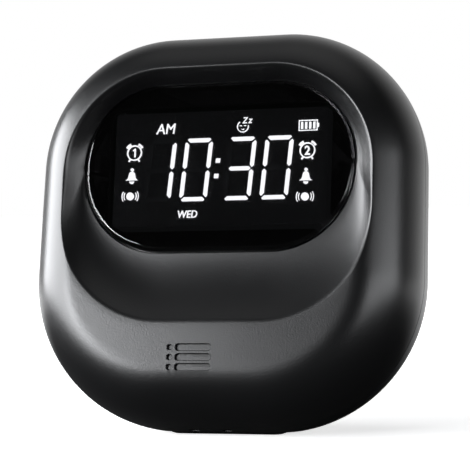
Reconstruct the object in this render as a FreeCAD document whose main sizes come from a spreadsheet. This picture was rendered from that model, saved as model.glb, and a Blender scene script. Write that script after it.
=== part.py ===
import FreeCAD, Part
import math
import os
import Sketcher
from FreeCAD import Placement, Rotation, Vector

# A vibrating alarm clock: a rounded-square moulded case that leans back on a rubber foot.
# Every piece is drawn in the case's own frame and then stood up:
#   X runs to the right, Y up the face, Z out of the face towards the reader,
#   with the origin at the middle of the parting plane between front and rear shell.
# Lengths are in millimetres and angles in degrees.

SIZES = (
    ("lean", 12, "lean of the face back from upright"),
    ("ground_drop", 50, "ground below the middle of the parting plane"),
    ("foot_middle", 1, "middle of the foot behind the middle of the parting plane"),
    ("half_width", 50, "half the case's width"),
    ("half_height", 50.3, "half the case's height"),
    ("top_narrowing", 0.3, "how much nearer the upper corners stand"),
    ("corner_top", 34.8, "radius of the upper corners"),
    ("corner_bottom", 38, "radius of the lower corners"),
    ("wall", 2.2, "wall of the case"),
    ("overrun", 1, "how far a cut runs past the faces it goes through"),
    ("end_flat", 0.05, "what a rounded end leaves straight"),
    ("front_depth", 18, "depth of the front shell"),
    ("front_reach", 14, "how far the front shoulder reaches in"),
    ("rear_depth", 26, "depth of the rear shell"),
    ("rear_reach", 17, "how far the rear shoulder reaches in"),
    ("lip_height", 1.5, "height of the lip on the rear shell"),
    ("lip_gap", 0.15, "clearance of the lip in the front shell"),
    ("seat_gap", 0.1, "clearance between curved seats"),
    ("rim_half_width", 40.7, "half the width of the recess rim"),
    ("rim_half_height", 33, "half the height of the recess rim"),
    ("rim_rise", 7.2, "middle of the recess rim above the case's middle"),
    ("rim_corner_top", 25, "upper corners of the recess rim"),
    ("rim_corner_bottom", 31.5, "lower corners of the recess rim"),
    ("recess_floor", 13, "height of the recess floor beside the lens"),
    ("bowl_wall", 1.4, "sideways wall of the recess bowl"),
    ("bowl_draw", 0.2, "how much thinner the bowl is at its rim"),
    ("lens_half_width", 34.9, "half the lens's width"),
    ("lens_half_height", 21.2, "half the lens's height"),
    ("lens_rise", 14.4, "middle of the lens above the case's middle"),
    ("lens_corner", 20.5, "corner radius of the lens"),
    ("lens_thickness", 3, "thickness of the lens"),
    ("lens_front", 14, "height of the lens's front face"),
    ("lens_edge", 1.2, "rounding of the lens's front edge"),
    ("lens_gap", 0.35, "gap round the lens"),
    ("tape_thickness", 0.3, "adhesive frame behind the lens"),
    ("ledge_thickness", 1.3, "ledge that carries the lens"),
    ("window_half_width", 29, "half the window in the ledge"),
    ("window_half_height", 16, "half the window's height"),
    ("window_corner", 4, "corner radius of the window"),
    ("board_front", 2.6, "front face of the main board"),
    ("board_thickness", 1.6, "thickness of both circuit boards"),
    ("board_half_width", 32, "half the main board's width"),
    ("board_half_height", 23, "half the main board's height"),
    ("board_corner", 3, "corner radius of the main board"),
    ("board_screw_x", 28, "main board screws to each side"),
    ("board_screw_y", 19, "main board screws above and below its middle"),
    ("board_post", 2.5, "radius of the posts that carry the main board"),
    ("display_half_width", 27.8, "half the display module's width"),
    ("display_half_height", 14.6, "half the display module's height"),
    ("display_depth", 7.7, "depth of the display module"),
    ("display_corner", 0.8, "corner radius of the display module"),
    ("segment_relief", 0.3, "height of the lit segments"),
    ("digits_left", 0.85, "digits to the left of the centre line"),
    ("digit_height", 16.5, "height of a digit"),
    ("digit_width", 7.4, "width of a digit"),
    ("digit_stroke", 1.15, "width of a segment"),
    ("digit_gap", 0.2, "gap between segments"),
    ("digit_slant", 4.5, "slant of the digits"),
    ("digit_pitch", 9.55, "pitch inside a pair of digits"),
    ("pair_pitch", 20.9, "pitch between the two pairs"),
    ("colon_side", 1.3, "side of a colon dot"),
    ("colon_spread", 3.9, "distance between the colon dots"),
    ("outlet_drop", 35.2, "sound outlet below the case's middle"),
    ("outlet_pitch", 2.4, "pitch of the three rows"),
    ("outlet_slot", 9.1, "length of a slot"),
    ("outlet_slot_middle", 1.05, "middle of a slot from the centre line"),
    ("outlet_width", 1.6, "width of a slot"),
    ("outlet_dot", 0.65, "radius of a dot"),
    ("outlet_dot_side", 5, "dots to the left of the centre line"),
    ("insert_gap", 0.2, "gap round the raised bars of the insert"),
    ("insert_sink", 0.7, "raised bars below the outer face"),
    ("insert_plate", 1, "plate of the insert"),
    ("insert_seat", 13.6, "height of the flat that the insert's plate is glued to"),
    ("insert_margin_x", 2.6, "plate beyond the slots to each side"),
    ("insert_margin_y", 1.9, "plate beyond the outer rows"),
    ("insert_corner", 1.5, "corner radius of the insert's plate"),
    ("insert_border", 0.4, "flat beyond the edge of the insert's plate"),
    ("speaker_radius", 11.5, "radius of the speaker frame"),
    ("speaker_drop", 33, "speaker below the case's middle"),
    ("speaker_front", 8.5, "front face of the speaker frame"),
    ("speaker_depth", 6, "depth of the speaker"),
    ("magnet_radius", 6.5, "radius of the speaker magnet"),
    ("magnet_depth", 2.6, "depth of the speaker magnet"),
    ("frame_rim", 2, "width of the speaker frame's rim"),
    ("frame_sheet", 1, "sheet of the speaker frame"),
    ("gasket_thickness", 0.8, "foam ring in front of the speaker"),
    ("gasket_width", 1.2, "width of the foam ring"),
    ("screw_radius", 1.3, "shank of a case screw"),
    ("screw_gap", 0.06, "clearance of a screw in its thread"),
    ("hole_gap", 0.2, "clearance of a screw in a board, a strip or a well"),
    ("screw_head", 2.5, "radius of a case screw's head"),
    ("screw_head_height", 1.8, "height of a case screw's head"),
    ("post_radius", 3.6, "radius of a case screw post"),
    ("post_depth", 12, "depth of the screw seat below the parting plane"),
    ("post_top_x", 36.6, "upper case screws to each side"),
    ("post_top_y", 26, "upper case screws above the middle"),
    ("post_bottom_x", 38.5, "lower case screws to each side"),
    ("post_bottom_y", 23.5, "lower case screws below the middle"),
    ("thread_depth", 8, "thread of a case screw in the front shell"),
    ("small_screw", 0.9, "shank of a board screw"),
    ("small_head", 1.8, "radius of a board screw's head"),
    ("small_head_height", 1.2, "height of a board screw's head"),
    ("small_thread", 4.5, "thread of a board screw"),
    ("driver_share", 0.6, "length of the driver slot as a share of the head"),
    ("driver_width", 0.5, "width of the driver slot"),
    ("rear_board_front", 14, "depth of the rear board's front face"),
    ("rear_board_half_width", 27, "half the rear board's width"),
    ("rear_board_low", 17.2, "lower edge of the rear board"),
    ("rear_board_high", 38.2, "upper edge of the rear board"),
    ("rear_screw_x", 24, "rear board screws to each side"),
    ("rear_screw_y", 20, "rear board screws above the middle"),
    ("button_rise", 26, "rear buttons above the middle"),
    ("button_pitch", 10.5, "pitch of the rear buttons"),
    ("button_half_length", 3.9, "half the length of a button"),
    ("button_half_height", 2.4, "half the height of a button"),
    ("button_gap", 0.25, "gap round a button"),
    ("button_proud", 1, "how far a button stands out"),
    ("button_flange", 0.8, "thickness and overhang of a button's flange"),
    ("button_play", 0.25, "gap between a flange and the wall"),
    ("button_stem", 1.6, "radius of a button's stem"),
    ("button_edge", 0.4, "rounding of a button's edge"),
    ("switch_half_side", 3, "half the side of a switch"),
    ("switch_height", 3.4, "height of a switch's housing"),
    ("plunger_radius", 1.7, "radius of a switch's plunger"),
    ("plunger_gap", 0.05, "running clearance of a plunger"),
    ("plunger_proud", 1.1, "how far a plunger stands out"),
    ("plunger_depth", 1.2, "how deep a plunger runs in its switch"),
    ("plunger_travel", 0.4, "how far a plunger can be pressed"),
    ("plunger_spare", 0.1, "what is left under a pressed plunger"),
    ("snooze_half_length", 20, "half the length of the snooze bar"),
    ("snooze_near", 5, "front edge of the snooze bar behind the parting plane"),
    ("snooze_far", 15, "rear edge of the snooze bar"),
    ("snooze_proud", 0.5, "how far the snooze bar stands out"),
    ("snooze_flange_top", 42.3, "top of the snooze bar's flange"),
    ("snooze_flange", 1.2, "thickness and overhang of that flange"),
    ("snooze_switch_low", 33, "foot of the snooze switch"),
    ("socket_rise", 19.4, "socket above the case's middle"),
    ("socket_half_width", 4.47, "half the width of the socket shell"),
    ("socket_half_height", 1.6, "half the height of the socket shell"),
    ("socket_sheet", 0.3, "sheet of the socket shell"),
    ("socket_sink", 0.3, "mouth of the socket below the rear face"),
    ("socket_gap", 0.3, "gap round the socket"),
    ("socket_floor", 0.8, "closed foot of the socket shell"),
    ("tongue_half_width", 3.3, "half the width of the contact tongue"),
    ("tongue_thickness", 0.7, "thickness of the contact tongue"),
    ("tongue_sink", 0.9, "tongue's end behind the mouth"),
    ("cell_radius", 9.1, "radius of the battery cell"),
    ("cell_length", 65, "length of the battery cell"),
    ("cell_drop", 28, "battery below the case's middle"),
    ("cell_depth", 10.6, "battery behind the parting plane"),
    ("tip_radius", 3, "radius of the cell's raised pole"),
    ("tip_length", 1.4, "length of the cell's raised pole"),
    ("tab_half_width", 2.5, "half the width of a battery tab"),
    ("tab_reach", 5, "how far a tab rises in front of the cell's axis"),
    ("tab_sheet", 0.3, "sheet of a battery tab"),
    ("cell_rib_x", 18, "battery ribs to each side"),
    ("rib_thickness", 2, "thickness of the cradle ribs"),
    ("rib_drop", 3, "front of the cradle ribs behind the axis of what they carry"),
    ("rib_margin", 1, "ribs beyond the cell, and inside the width of the can"),
    ("can_rib_inset", 4, "motor ribs in from the ends of the can"),
    ("cradle_gap", 0.15, "gap between a cradle and what lies in it"),
    ("band_gap", 0.05, "clearance of the battery band"),
    ("band_thickness", 0.8, "thickness of the battery band"),
    ("band_width", 14, "width of the battery band"),
    ("can_radius", 10, "radius of the motor can"),
    ("can_length", 28, "length of the motor can"),
    ("can_left", -22, "left end of the motor can"),
    ("motor_rise", 1, "motor above the case's middle"),
    ("motor_depth", 11.9, "motor behind the parting plane"),
    ("cap_thickness", 2.5, "plastic cap of the motor"),
    ("cap_step", 0.8, "step between the can and its cap"),
    ("pin_side", 5, "motor terminals above and below the axis"),
    ("pin_length", 3, "how far a motor terminal stands out"),
    ("pin_half_width", 0.9, "half the width of a motor terminal"),
    ("pin_half_sheet", 0.2, "half the thickness of a motor terminal"),
    ("bush_radius", 3, "radius of the motor's bush"),
    ("bush_length", 1.5, "how far the bush stands out"),
    ("shaft_radius", 1.15, "radius of the motor shaft"),
    ("shaft_gap", 0.05, "running clearance of the shaft"),
    ("shaft_hidden", 8, "shaft inside the can"),
    ("shaft_play", 0.3, "what is left behind the hidden end of the shaft"),
    ("shaft_end", 0.8, "shaft beyond the weight"),
    ("weight_radius", 9, "radius of the eccentric weight"),
    ("weight_length", 15, "length of the eccentric weight"),
    ("weight_gap", 0.8, "gap between bush and weight"),
    ("weight_hub", 3, "radius of the weight's hub"),
    ("weight_fit", 0.02, "clearance of the weight on the shaft"),
    ("clamp_thickness", 1, "sheet of the motor clamp"),
    ("clamp_width", 10, "width of the motor clamp"),
    ("clamp_middle", -8, "middle of the clamp along the case"),
    ("clamp_screw_y", 13, "clamp screws above and below the motor"),
    ("clamp_margin", 2.4, "strip beyond the clamp screws"),
    ("foot_half_width", 17, "half the width of the foot"),
    ("foot_half_depth", 12, "half the depth of the foot"),
    ("foot_corner", 5, "corner radius of the foot"),
    ("foot_flat", 0.8, "flat under the case above the ground"),
    ("foot_wrap", 6, "height of the foot's fitted edge"),
    ("strap_slot_side", 4.2, "strap slots to each side"),
    ("strap_slot_forward", 3, "strap slots in front of the parting plane"),
    ("strap_slot_width", 2.2, "width of a strap slot"),
    ("strap_slot_height", 1.6, "front to rear of a strap slot"),
    ("lead_radius", 0.6, "radius of an insulated lead"),
    ("lead_pitch", 2.6, "distance between two leads"),
    ("lead_gap", 0.25, "gap between a lead's end and what it is joined to"),
    ("link_side", 12.5, "board link to the right of the centre line"),
    ("ribbon_width", 12, "width of the board link"),
    ("ribbon_thickness", 0.5, "thickness of the board link"),
    ("header_half_width", 7, "half the width of a link header"),
    ("header_half_height", 1.5, "half the height of a link header"),
    ("header_depth", 3, "depth of a link header"),
    ("header_edge", 0.3, "link headers below the rear board's upper edge"),
)

PROFILE_STEPS = 6
RECESS_SHARES = (0.0, 0.3, 0.55, 0.8, 1.0, 1.12)
BOWL_SHARES = (0.0, 0.35, 0.7, 1.0)
ROWS = (-1, 0, 1)
SIDES = (-1, 1)
COMPONENTS = (
    # name, left, right, low, high and depth of each block on the back of the main board
    ("controller", -24, -14, 24, 34, 1.2),
    ("driver", 2, 7, 28, 33, 1.4),
    ("crystal", -10, -6.5, 28, 34, 1.6),
    ("speaker_plug", -24, -17, -8, -3, 2),
    ("battery_plug", 8, 15, -8, -3, 2),
    ("motor_plug", -31.5, -26.5, 2, 9, 2),
)
COIL = (24, 24, 3, 2.4)  # x, y, radius and depth
BUTTON_NAMES = ("mode", "alarm_one", "alarm_two", "minus", "plus")

doc = FreeCAD.newDocument("alarm_clock")
sheet = doc.addObject("Spreadsheet::Sheet", "sizes")
for row, (alias, number, note) in enumerate(SIZES, start=1):
    sheet.set(f"A{row}", alias)
    sheet.set(f"B{row}", str(number))
    sheet.set(f"C{row}", note)
    sheet.setAlias(f"B{row}", alias)
doc.recompute()
ALIASES = {alias for alias, number, note in SIZES}
parts = []


# Expressions on the sheet

def linked(expression):
    """The expression with each alias written as a reference to the sheet."""
    words = []
    word = ""
    for letter in str(expression) + " ":
        if letter.isalnum() or letter in "_.":
            word += letter
        else:
            words.append(f"sizes.{word}" if word in ALIASES else word)
            words.append(letter)
            word = ""
    return "".join(words).strip()


def size(expression):
    """The expression's value."""
    value = sheet.evalExpression(linked(expression))
    return float(getattr(value, "Value", value))


def bind(thing, prop, expression, unit="mm"):
    """Ties a property to the sheet."""
    thing.setExpression(prop, f"({linked(expression)}) * 1 {unit}")


# Helpers that sketch, pad, cut and place

def new_body(label):
    body = doc.addObject("PartDesign::Body", label)
    body.Label = label
    return body


def origin_plane(body, role):
    return next(feature for feature in body.Origin.OriginFeatures if feature.Role == role)


def new_sketch(body, height="0", plane="XY_Plane"):
    """A sketch on the body's plane, moved out of it by a height."""
    sketch = body.newObject("Sketcher::SketchObject", "profile")
    sketch.AttachmentSupport = (origin_plane(body, plane), [""])
    sketch.MapMode = "FlatFace"
    bind(sketch, "AttachmentOffset.Base.z", height)
    return sketch


def level_sketch(body, drop):
    """A sketch on a level plane, a drop below the middle of the parting plane."""
    sketch = body.newObject("Sketcher::SketchObject", "level_profile")
    sketch.AttachmentSupport = (origin_plane(body, "XY_Plane"), [""])
    sketch.MapMode = "FlatFace"
    sketch.AttachmentOffset = Placement(Vector(0, 0, 0), Rotation(Vector(1, 0, 0), -80))
    bind(sketch, "AttachmentOffset.Rotation.Angle", "lean - 90", "deg")
    bind(sketch, "AttachmentOffset.Base.y", f"-({drop}) * cos(lean * 1 deg)")
    bind(sketch, "AttachmentOffset.Base.z", f"-({drop}) * sin(lean * 1 deg)")
    return sketch


def constrain(sketch, kind, *where, to, unit="mm"):
    number = sketch.addConstraint(Sketcher.Constraint(kind, *where, size(to)))
    sketch.setExpression(f"Constraints[{number}]", f"({linked(to)}) * 1 {unit}")


def place_point(sketch, geometry, point, x, y):
    """Holds a point of the sketch at x, y from its origin."""
    constrain(sketch, "DistanceX", -1, 1, geometry, point, to=x)
    constrain(sketch, "DistanceY", -1, 1, geometry, point, to=y)


def draw_circle(sketch, x, y, radius):
    middle = Vector(size(x), size(y), 0)
    circle = Part.Circle(middle, Vector(0, 0, 1), size(radius))
    geometry = sketch.addGeometry(circle, False)
    constrain(sketch, "Radius", geometry, to=radius)
    place_point(sketch, geometry, 3, x, y)


def draw_polygon(sketch, points):
    """A closed outline of straight lines through points given as expressions."""
    places = [Vector(size(x), size(y), 0) for x, y in points]
    first = None
    for here, there in zip(places, places[1:] + places[:1]):
        geometry = sketch.addGeometry(Part.LineSegment(here, there), False)
        first = geometry if first is None else first
    for step, (x, y) in enumerate(points):
        place_point(sketch, first + step, 1, x, y)
        following = first + (step + 1) % len(points)
        sketch.addConstraint(Sketcher.Constraint("Coincident", first + step, 2, following, 1))


def draw_box(sketch, left, right, low, high):
    draw_polygon(sketch, ((left, low), (right, low), (right, high), (left, high)))


def draw_hull(sketch, discs):
    """The tight outline round four discs, given anticlockwise as x, y and radius."""
    places = [Vector(size(x), size(y), 0) for x, y, radius in discs]
    radii = [size(radius) for x, y, radius in discs]
    count = len(discs)
    turns = []
    for here in range(count):
        there = (here + 1) % count
        run = places[there] - places[here]
        spread = math.acos((radii[here] - radii[there]) / run.Length)
        turns.append(math.atan2(run.y, run.x) - spread)
    arcs = []
    for here in range(count):
        start = turns[here - 1]
        stop = turns[here]
        while stop < start:
            stop += 2 * math.pi
        circle = Part.Circle(places[here], Vector(0, 0, 1), radii[here])
        arcs.append(sketch.addGeometry(Part.ArcOfCircle(circle, start, stop), False))
    for here in range(count):
        there = (here + 1) % count
        outward = Vector(math.cos(turns[here]), math.sin(turns[here]), 0)
        start = places[here] + outward * radii[here]
        stop = places[there] + outward * radii[there]
        line = sketch.addGeometry(Part.LineSegment(start, stop), False)
        sketch.addConstraint(Sketcher.Constraint("Tangent", arcs[here], 2, line, 1))
        sketch.addConstraint(Sketcher.Constraint("Tangent", line, 2, arcs[there], 1))
    for arc, (x, y, radius) in zip(arcs, discs):
        constrain(sketch, "Radius", arc, to=radius)
        place_point(sketch, arc, 3, x, y)


def rounded_box(half_width, half_height, corner, x="0", y="0", grow="0"):
    """Four discs of a rounded rectangle, in the order that draw_hull takes."""
    side = f"({half_width} - ({corner}))"
    rise = f"({half_height} - ({corner}))"
    radius = f"{corner} + ({grow})"
    signs = ((1, 1), (-1, 1), (-1, -1), (1, -1))
    return [(f"{x} + {sx} * {side}", f"{y} + {sy} * {rise}", radius) for sx, sy in signs]


def extrude(body, sketch, length, kind="Pad", upward=True):
    """A pad or a pocket that runs up or down from the sketch."""
    feature = body.newObject(f"PartDesign::{kind}", kind.lower())
    feature.Profile = sketch
    feature.Reversed = upward == (kind == "Pocket")
    bind(feature, "Length", length)
    sketch.Visibility = False
    body.Tip = feature
    return feature


def pad(body, sketch, length, upward=True):
    return extrude(body, sketch, length, "Pad", upward)


def pocket(body, sketch, length, upward=True):
    return extrude(body, sketch, length, "Pocket", upward)


def loft(body, sketches, kind="AdditiveLoft"):
    feature = body.newObject(f"PartDesign::{kind}", kind.lower())
    feature.Profile = sketches[0]
    feature.Sections = sketches[1:]
    body.Tip = feature
    return feature


def round_face(body, solid, radius, way=1):
    """Rounds the edges of the face that lies furthest up, or furthest down."""
    doc.recompute()
    faces = solid.Shape.Faces
    last = max(range(len(faces)), key=lambda number: way * faces[number].CenterOfMass.z)
    feature = body.newObject("PartDesign::Fillet", "rounding")
    feature.Base = (solid, [f"Face{last + 1}"])
    bind(feature, "Radius", radius)
    body.Tip = feature


def revolve(body, points, axis_side="0"):
    """A turned piece: a profile of radius and height, about the body's Z axis."""
    sketch = new_sketch(body, axis_side, "XZ_Plane")
    draw_polygon(sketch, points)
    feature = body.newObject("PartDesign::Revolution", "turned")
    feature.Profile = sketch
    feature.ReferenceAxis = (sketch, ["V_Axis"])
    feature.Angle = 360
    body.Tip = feature
    return feature


def stand(thing):
    """Leans the piece back and puts the middle of the foot at the origin."""
    thing.Placement = Placement(Vector(0, 0, 1), Rotation(Vector(1, 0, 0), 80))
    bind(thing, ".Placement.Rotation.Angle", "90 - lean", "deg")
    bind(thing, ".Placement.Base.y", "-foot_middle")
    bind(thing, ".Placement.Base.z", "ground_drop")


def finish(label, thing):
    """Gives the piece its name and its place, and lists it."""
    if thing.isDerivedFrom("Part::Primitive"):
        thing = gather(f"{label}_holder", [thing])
    thing.Label = label
    stand(thing)
    parts.append(thing)
    return thing


def combine(kind, label, base, tool):
    """A boolean of two objects."""
    result = doc.addObject(f"Part::{kind}", label)
    result.Base = base
    result.Tool = tool
    return result


def gather(label, things):
    """Several solids as one object."""
    group = doc.addObject("Part::Compound", label)
    group.Links = things
    return group


def disc(label, radius, length, x="0", y="0", z="0"):
    """A cylinder along Z from x, y, z."""
    cylinder = doc.addObject("Part::Cylinder", label)
    bind(cylinder, "Radius", radius)
    bind(cylinder, "Height", length)
    place(cylinder, x, y, z)
    return cylinder


def bar(label, radius, length, x, y, z):
    """A cylinder along X from x, y, z."""
    cylinder = doc.addObject("Part::Cylinder", label)
    cylinder.Placement = Placement(Vector(0, 0, 0), Rotation(Vector(0, 1, 0), 90))
    bind(cylinder, "Radius", radius)
    bind(cylinder, "Height", length)
    place(cylinder, x, y, z)
    return cylinder


def block(label, left, right, low, high, back, front):
    """A box between six sides."""
    box = doc.addObject("Part::Box", label)
    bind(box, "Length", f"{right} - ({left})")
    bind(box, "Width", f"{high} - ({low})")
    bind(box, "Height", f"{front} - ({back})")
    place(box, left, low, back)
    return box


def place(thing, x, y, z):
    bind(thing, ".Placement.Base.x", x)
    bind(thing, ".Placement.Base.y", y)
    bind(thing, ".Placement.Base.z", z)


# The case

def case_outline(inset="0"):
    """The case's outline at the parting plane, drawn in by an inset."""
    top = "(half_height - corner_top)"
    side = "(half_width - top_narrowing - corner_top)"
    low = "(corner_bottom - half_height)"
    low_side = "(half_width - corner_bottom)"
    return [
        (side, top, f"corner_top - ({inset})"),
        (f"-{side}", top, f"corner_top - ({inset})"),
        (f"-{low_side}", low, f"corner_bottom - ({inset})"),
        (low_side, low, f"corner_bottom - ({inset})"),
    ]


def dome(body, depth, reach, inset="0", way=1, kind="AdditiveLoft"):
    """The case's outline, drawn in along a quarter of an ellipse as it rises."""
    sketches = []
    for step in range(PROFILE_STEPS + 1):
        angle = f"{90 * step / PROFILE_STEPS} * 1 deg"
        sketch = new_sketch(body, f"{way} * ({depth}) * sin({angle})")
        draw_hull(sketch, case_outline(f"{inset} + ({reach}) * (1 - cos({angle}))"))
        sketches.append(sketch)
    return loft(body, sketches, kind)


def front_dome(body, inset="0", kind="AdditiveLoft"):
    return dome(body, f"front_depth - ({inset})", "front_reach", inset, 1, kind)


def rear_dome(body, inset="0", kind="AdditiveLoft"):
    return dome(body, f"rear_depth - ({inset})", "rear_reach", inset, -1, kind)


def flatten(body):
    """Cuts the level flat that the foot is glued to."""
    sketch = level_sketch(body, "ground_drop - foot_flat")
    draw_box(sketch, "-half_width", "half_width", "-half_height", "half_height")
    pocket(body, sketch, "half_height", upward=False)


def lens_outline(grow="0"):
    return rounded_box("lens_half_width", "lens_half_height", "lens_corner", y="lens_rise", grow=grow)


def recess_outline(share, grow="0"):
    """An outline between the lens opening, at 0, and the rim, at 1."""
    inner = lens_outline("lens_gap")
    rise = "(rim_rise + rim_half_height - rim_corner_top)"
    side = "(rim_half_width - rim_corner_top)"
    low = "(rim_rise - rim_half_height + rim_corner_bottom)"
    low_side = "(rim_half_width - rim_corner_bottom)"
    outer = [
        (side, rise, "rim_corner_top"),
        (f"-{side}", rise, "rim_corner_top"),
        (f"-{low_side}", low, "rim_corner_bottom"),
        (low_side, low, "rim_corner_bottom"),
    ]
    mixed = []
    for near, far in zip(inner, outer):
        x, y, radius = (f"({a}) * {1 - share} + ({b}) * {share}" for a, b in zip(near, far))
        mixed.append((x, y, f"{radius} + ({grow})"))
    return mixed


def recess_height(share):
    """The recess is nearly level beside the lens and steepens towards its rim."""
    return f"(recess_floor + (front_depth - recess_floor) * {share ** 2})"


def front_posts():
    """Where the case screws run: x and y."""
    upper = [(f"{side} * post_top_x", "post_top_y") for side in SIDES]
    lower = [(f"{side} * post_bottom_x", "-post_bottom_y") for side in SIDES]
    return upper + lower


def board_posts():
    return [
        (f"{side} * board_screw_x", f"lens_rise + {rise} * board_screw_y")
        for side in SIDES for rise in SIDES
    ]


def insert_outline(grow="0"):
    """The plate behind the sound outlet."""
    return rounded_box("outlet_slot / 2 + insert_margin_x", "outlet_pitch + insert_margin_y",
                       "insert_corner", y="-outlet_drop", grow=grow)


def front_hollow():
    """Everything that is air in the front shell."""
    body = new_body("front_hollow")
    front_dome(body, "wall")
    rabbet = new_sketch(body)
    draw_hull(rabbet, case_outline("wall / 2"))
    pad(body, rabbet, "lip_height + lip_gap")
    sections = []
    for share in BOWL_SHARES:
        sketch = new_sketch(body, f"{recess_height(share)} - wall + bowl_draw * {share}")
        draw_hull(sketch, recess_outline(share, "bowl_wall"))
        sections.append(sketch)
    loft(body, sections, "SubtractiveLoft")
    ledge = "(lens_front - lens_thickness - tape_thickness)"
    collar = new_sketch(body, f"{ledge} - ledge_thickness")
    draw_hull(collar, lens_outline("lens_gap + bowl_wall"))
    pocket(body, collar, f"recess_floor - {ledge} + ledge_thickness")
    for x, y in board_posts():
        post = new_sketch(body, "board_front")
        draw_circle(post, x, y, "board_post")
        pocket(body, post, "front_depth")
    for x, y in front_posts():
        post = new_sketch(body)
        draw_circle(post, x, y, "post_radius")
        pocket(body, post, "front_depth")
    flat = new_sketch(body, "insert_seat")
    draw_hull(flat, insert_outline("insert_border"))
    pocket(body, flat, "front_depth")
    ring = new_sketch(body, "speaker_front + gasket_thickness")
    draw_circle(ring, "0", "-speaker_drop", "speaker_radius")
    draw_circle(ring, "0", "-speaker_drop", "speaker_radius - gasket_width")
    pocket(body, ring, "front_depth")
    window = new_sketch(body, f"{ledge} - ledge_thickness - overrun")
    draw_hull(window, rounded_box(
        "window_half_width", "window_half_height", "window_corner", y="lens_rise"))
    pad(body, window, "ledge_thickness + 2 * overrun")
    seat = new_sketch(body, ledge)
    draw_hull(seat, lens_outline("lens_gap"))
    pad(body, seat, f"recess_floor - {ledge}")
    sections = []
    for share in RECESS_SHARES:
        sketch = new_sketch(body, recess_height(share))
        draw_hull(sketch, recess_outline(share))
        sections.append(sketch)
    loft(body, sections)
    for row in ROWS:
        height = f"-outlet_drop + {row} * outlet_pitch"
        slot = new_sketch(body, "insert_seat - overrun")
        draw_hull(slot, rounded_box(
            "outlet_slot / 2", "outlet_width / 2", "outlet_width / 2 - end_flat",
            x="outlet_slot_middle", y=height))
        pad(body, slot, "front_depth - insert_seat + 2 * overrun")
        dot = new_sketch(body, "insert_seat - overrun")
        draw_circle(dot, "-outlet_dot_side", height, "outlet_dot")
        pad(body, dot, "front_depth - insert_seat + 2 * overrun")
    for x, y in front_posts():
        hole = new_sketch(body)
        draw_circle(hole, x, y, "screw_radius + screw_gap")
        pad(body, hole, "thread_depth + overrun")
    for x, y in board_posts():
        hole = new_sketch(body, "board_front")
        draw_circle(hole, x, y, "small_screw + screw_gap")
        pad(body, hole, "small_thread + overrun")
    for side in SIDES:
        slot = new_sketch(body, "half_height - wall - overrun", "XZ_Plane")
        middle = f"{side} * strap_slot_side"
        draw_box(slot, f"{middle} - strap_slot_width / 2", f"{middle} + strap_slot_width / 2",
                 "strap_slot_forward - strap_slot_height / 2",
                 "strap_slot_forward + strap_slot_height / 2")
        pad(body, slot, "wall + 2 * overrun")
    return body


def make_front_shell():
    form = new_body("front_form")
    front_dome(form)
    flatten(form)
    finish("front_shell", combine("Cut", "front_cut", form, front_hollow()))


def button_places():
    return [f"{step - 2} * button_pitch" for step in range(len(BUTTON_NAMES))]


def button_outline(x, grow="0"):
    return rounded_box("button_half_length", "button_half_height", "button_half_height - end_flat",
                       x=x, y="button_rise", grow=grow)


def leave_rib(body, x, y, depth, side_reach):
    """Leaves a rib across the case, standing on the rear wall."""
    rib = new_sketch(body, "-rear_depth")
    draw_box(rib, f"{x} - rib_thickness / 2", f"{x} + rib_thickness / 2",
             f"{y} - ({side_reach})", f"{y} + ({side_reach})")
    pocket(body, rib, f"rear_depth - ({depth})")


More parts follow.
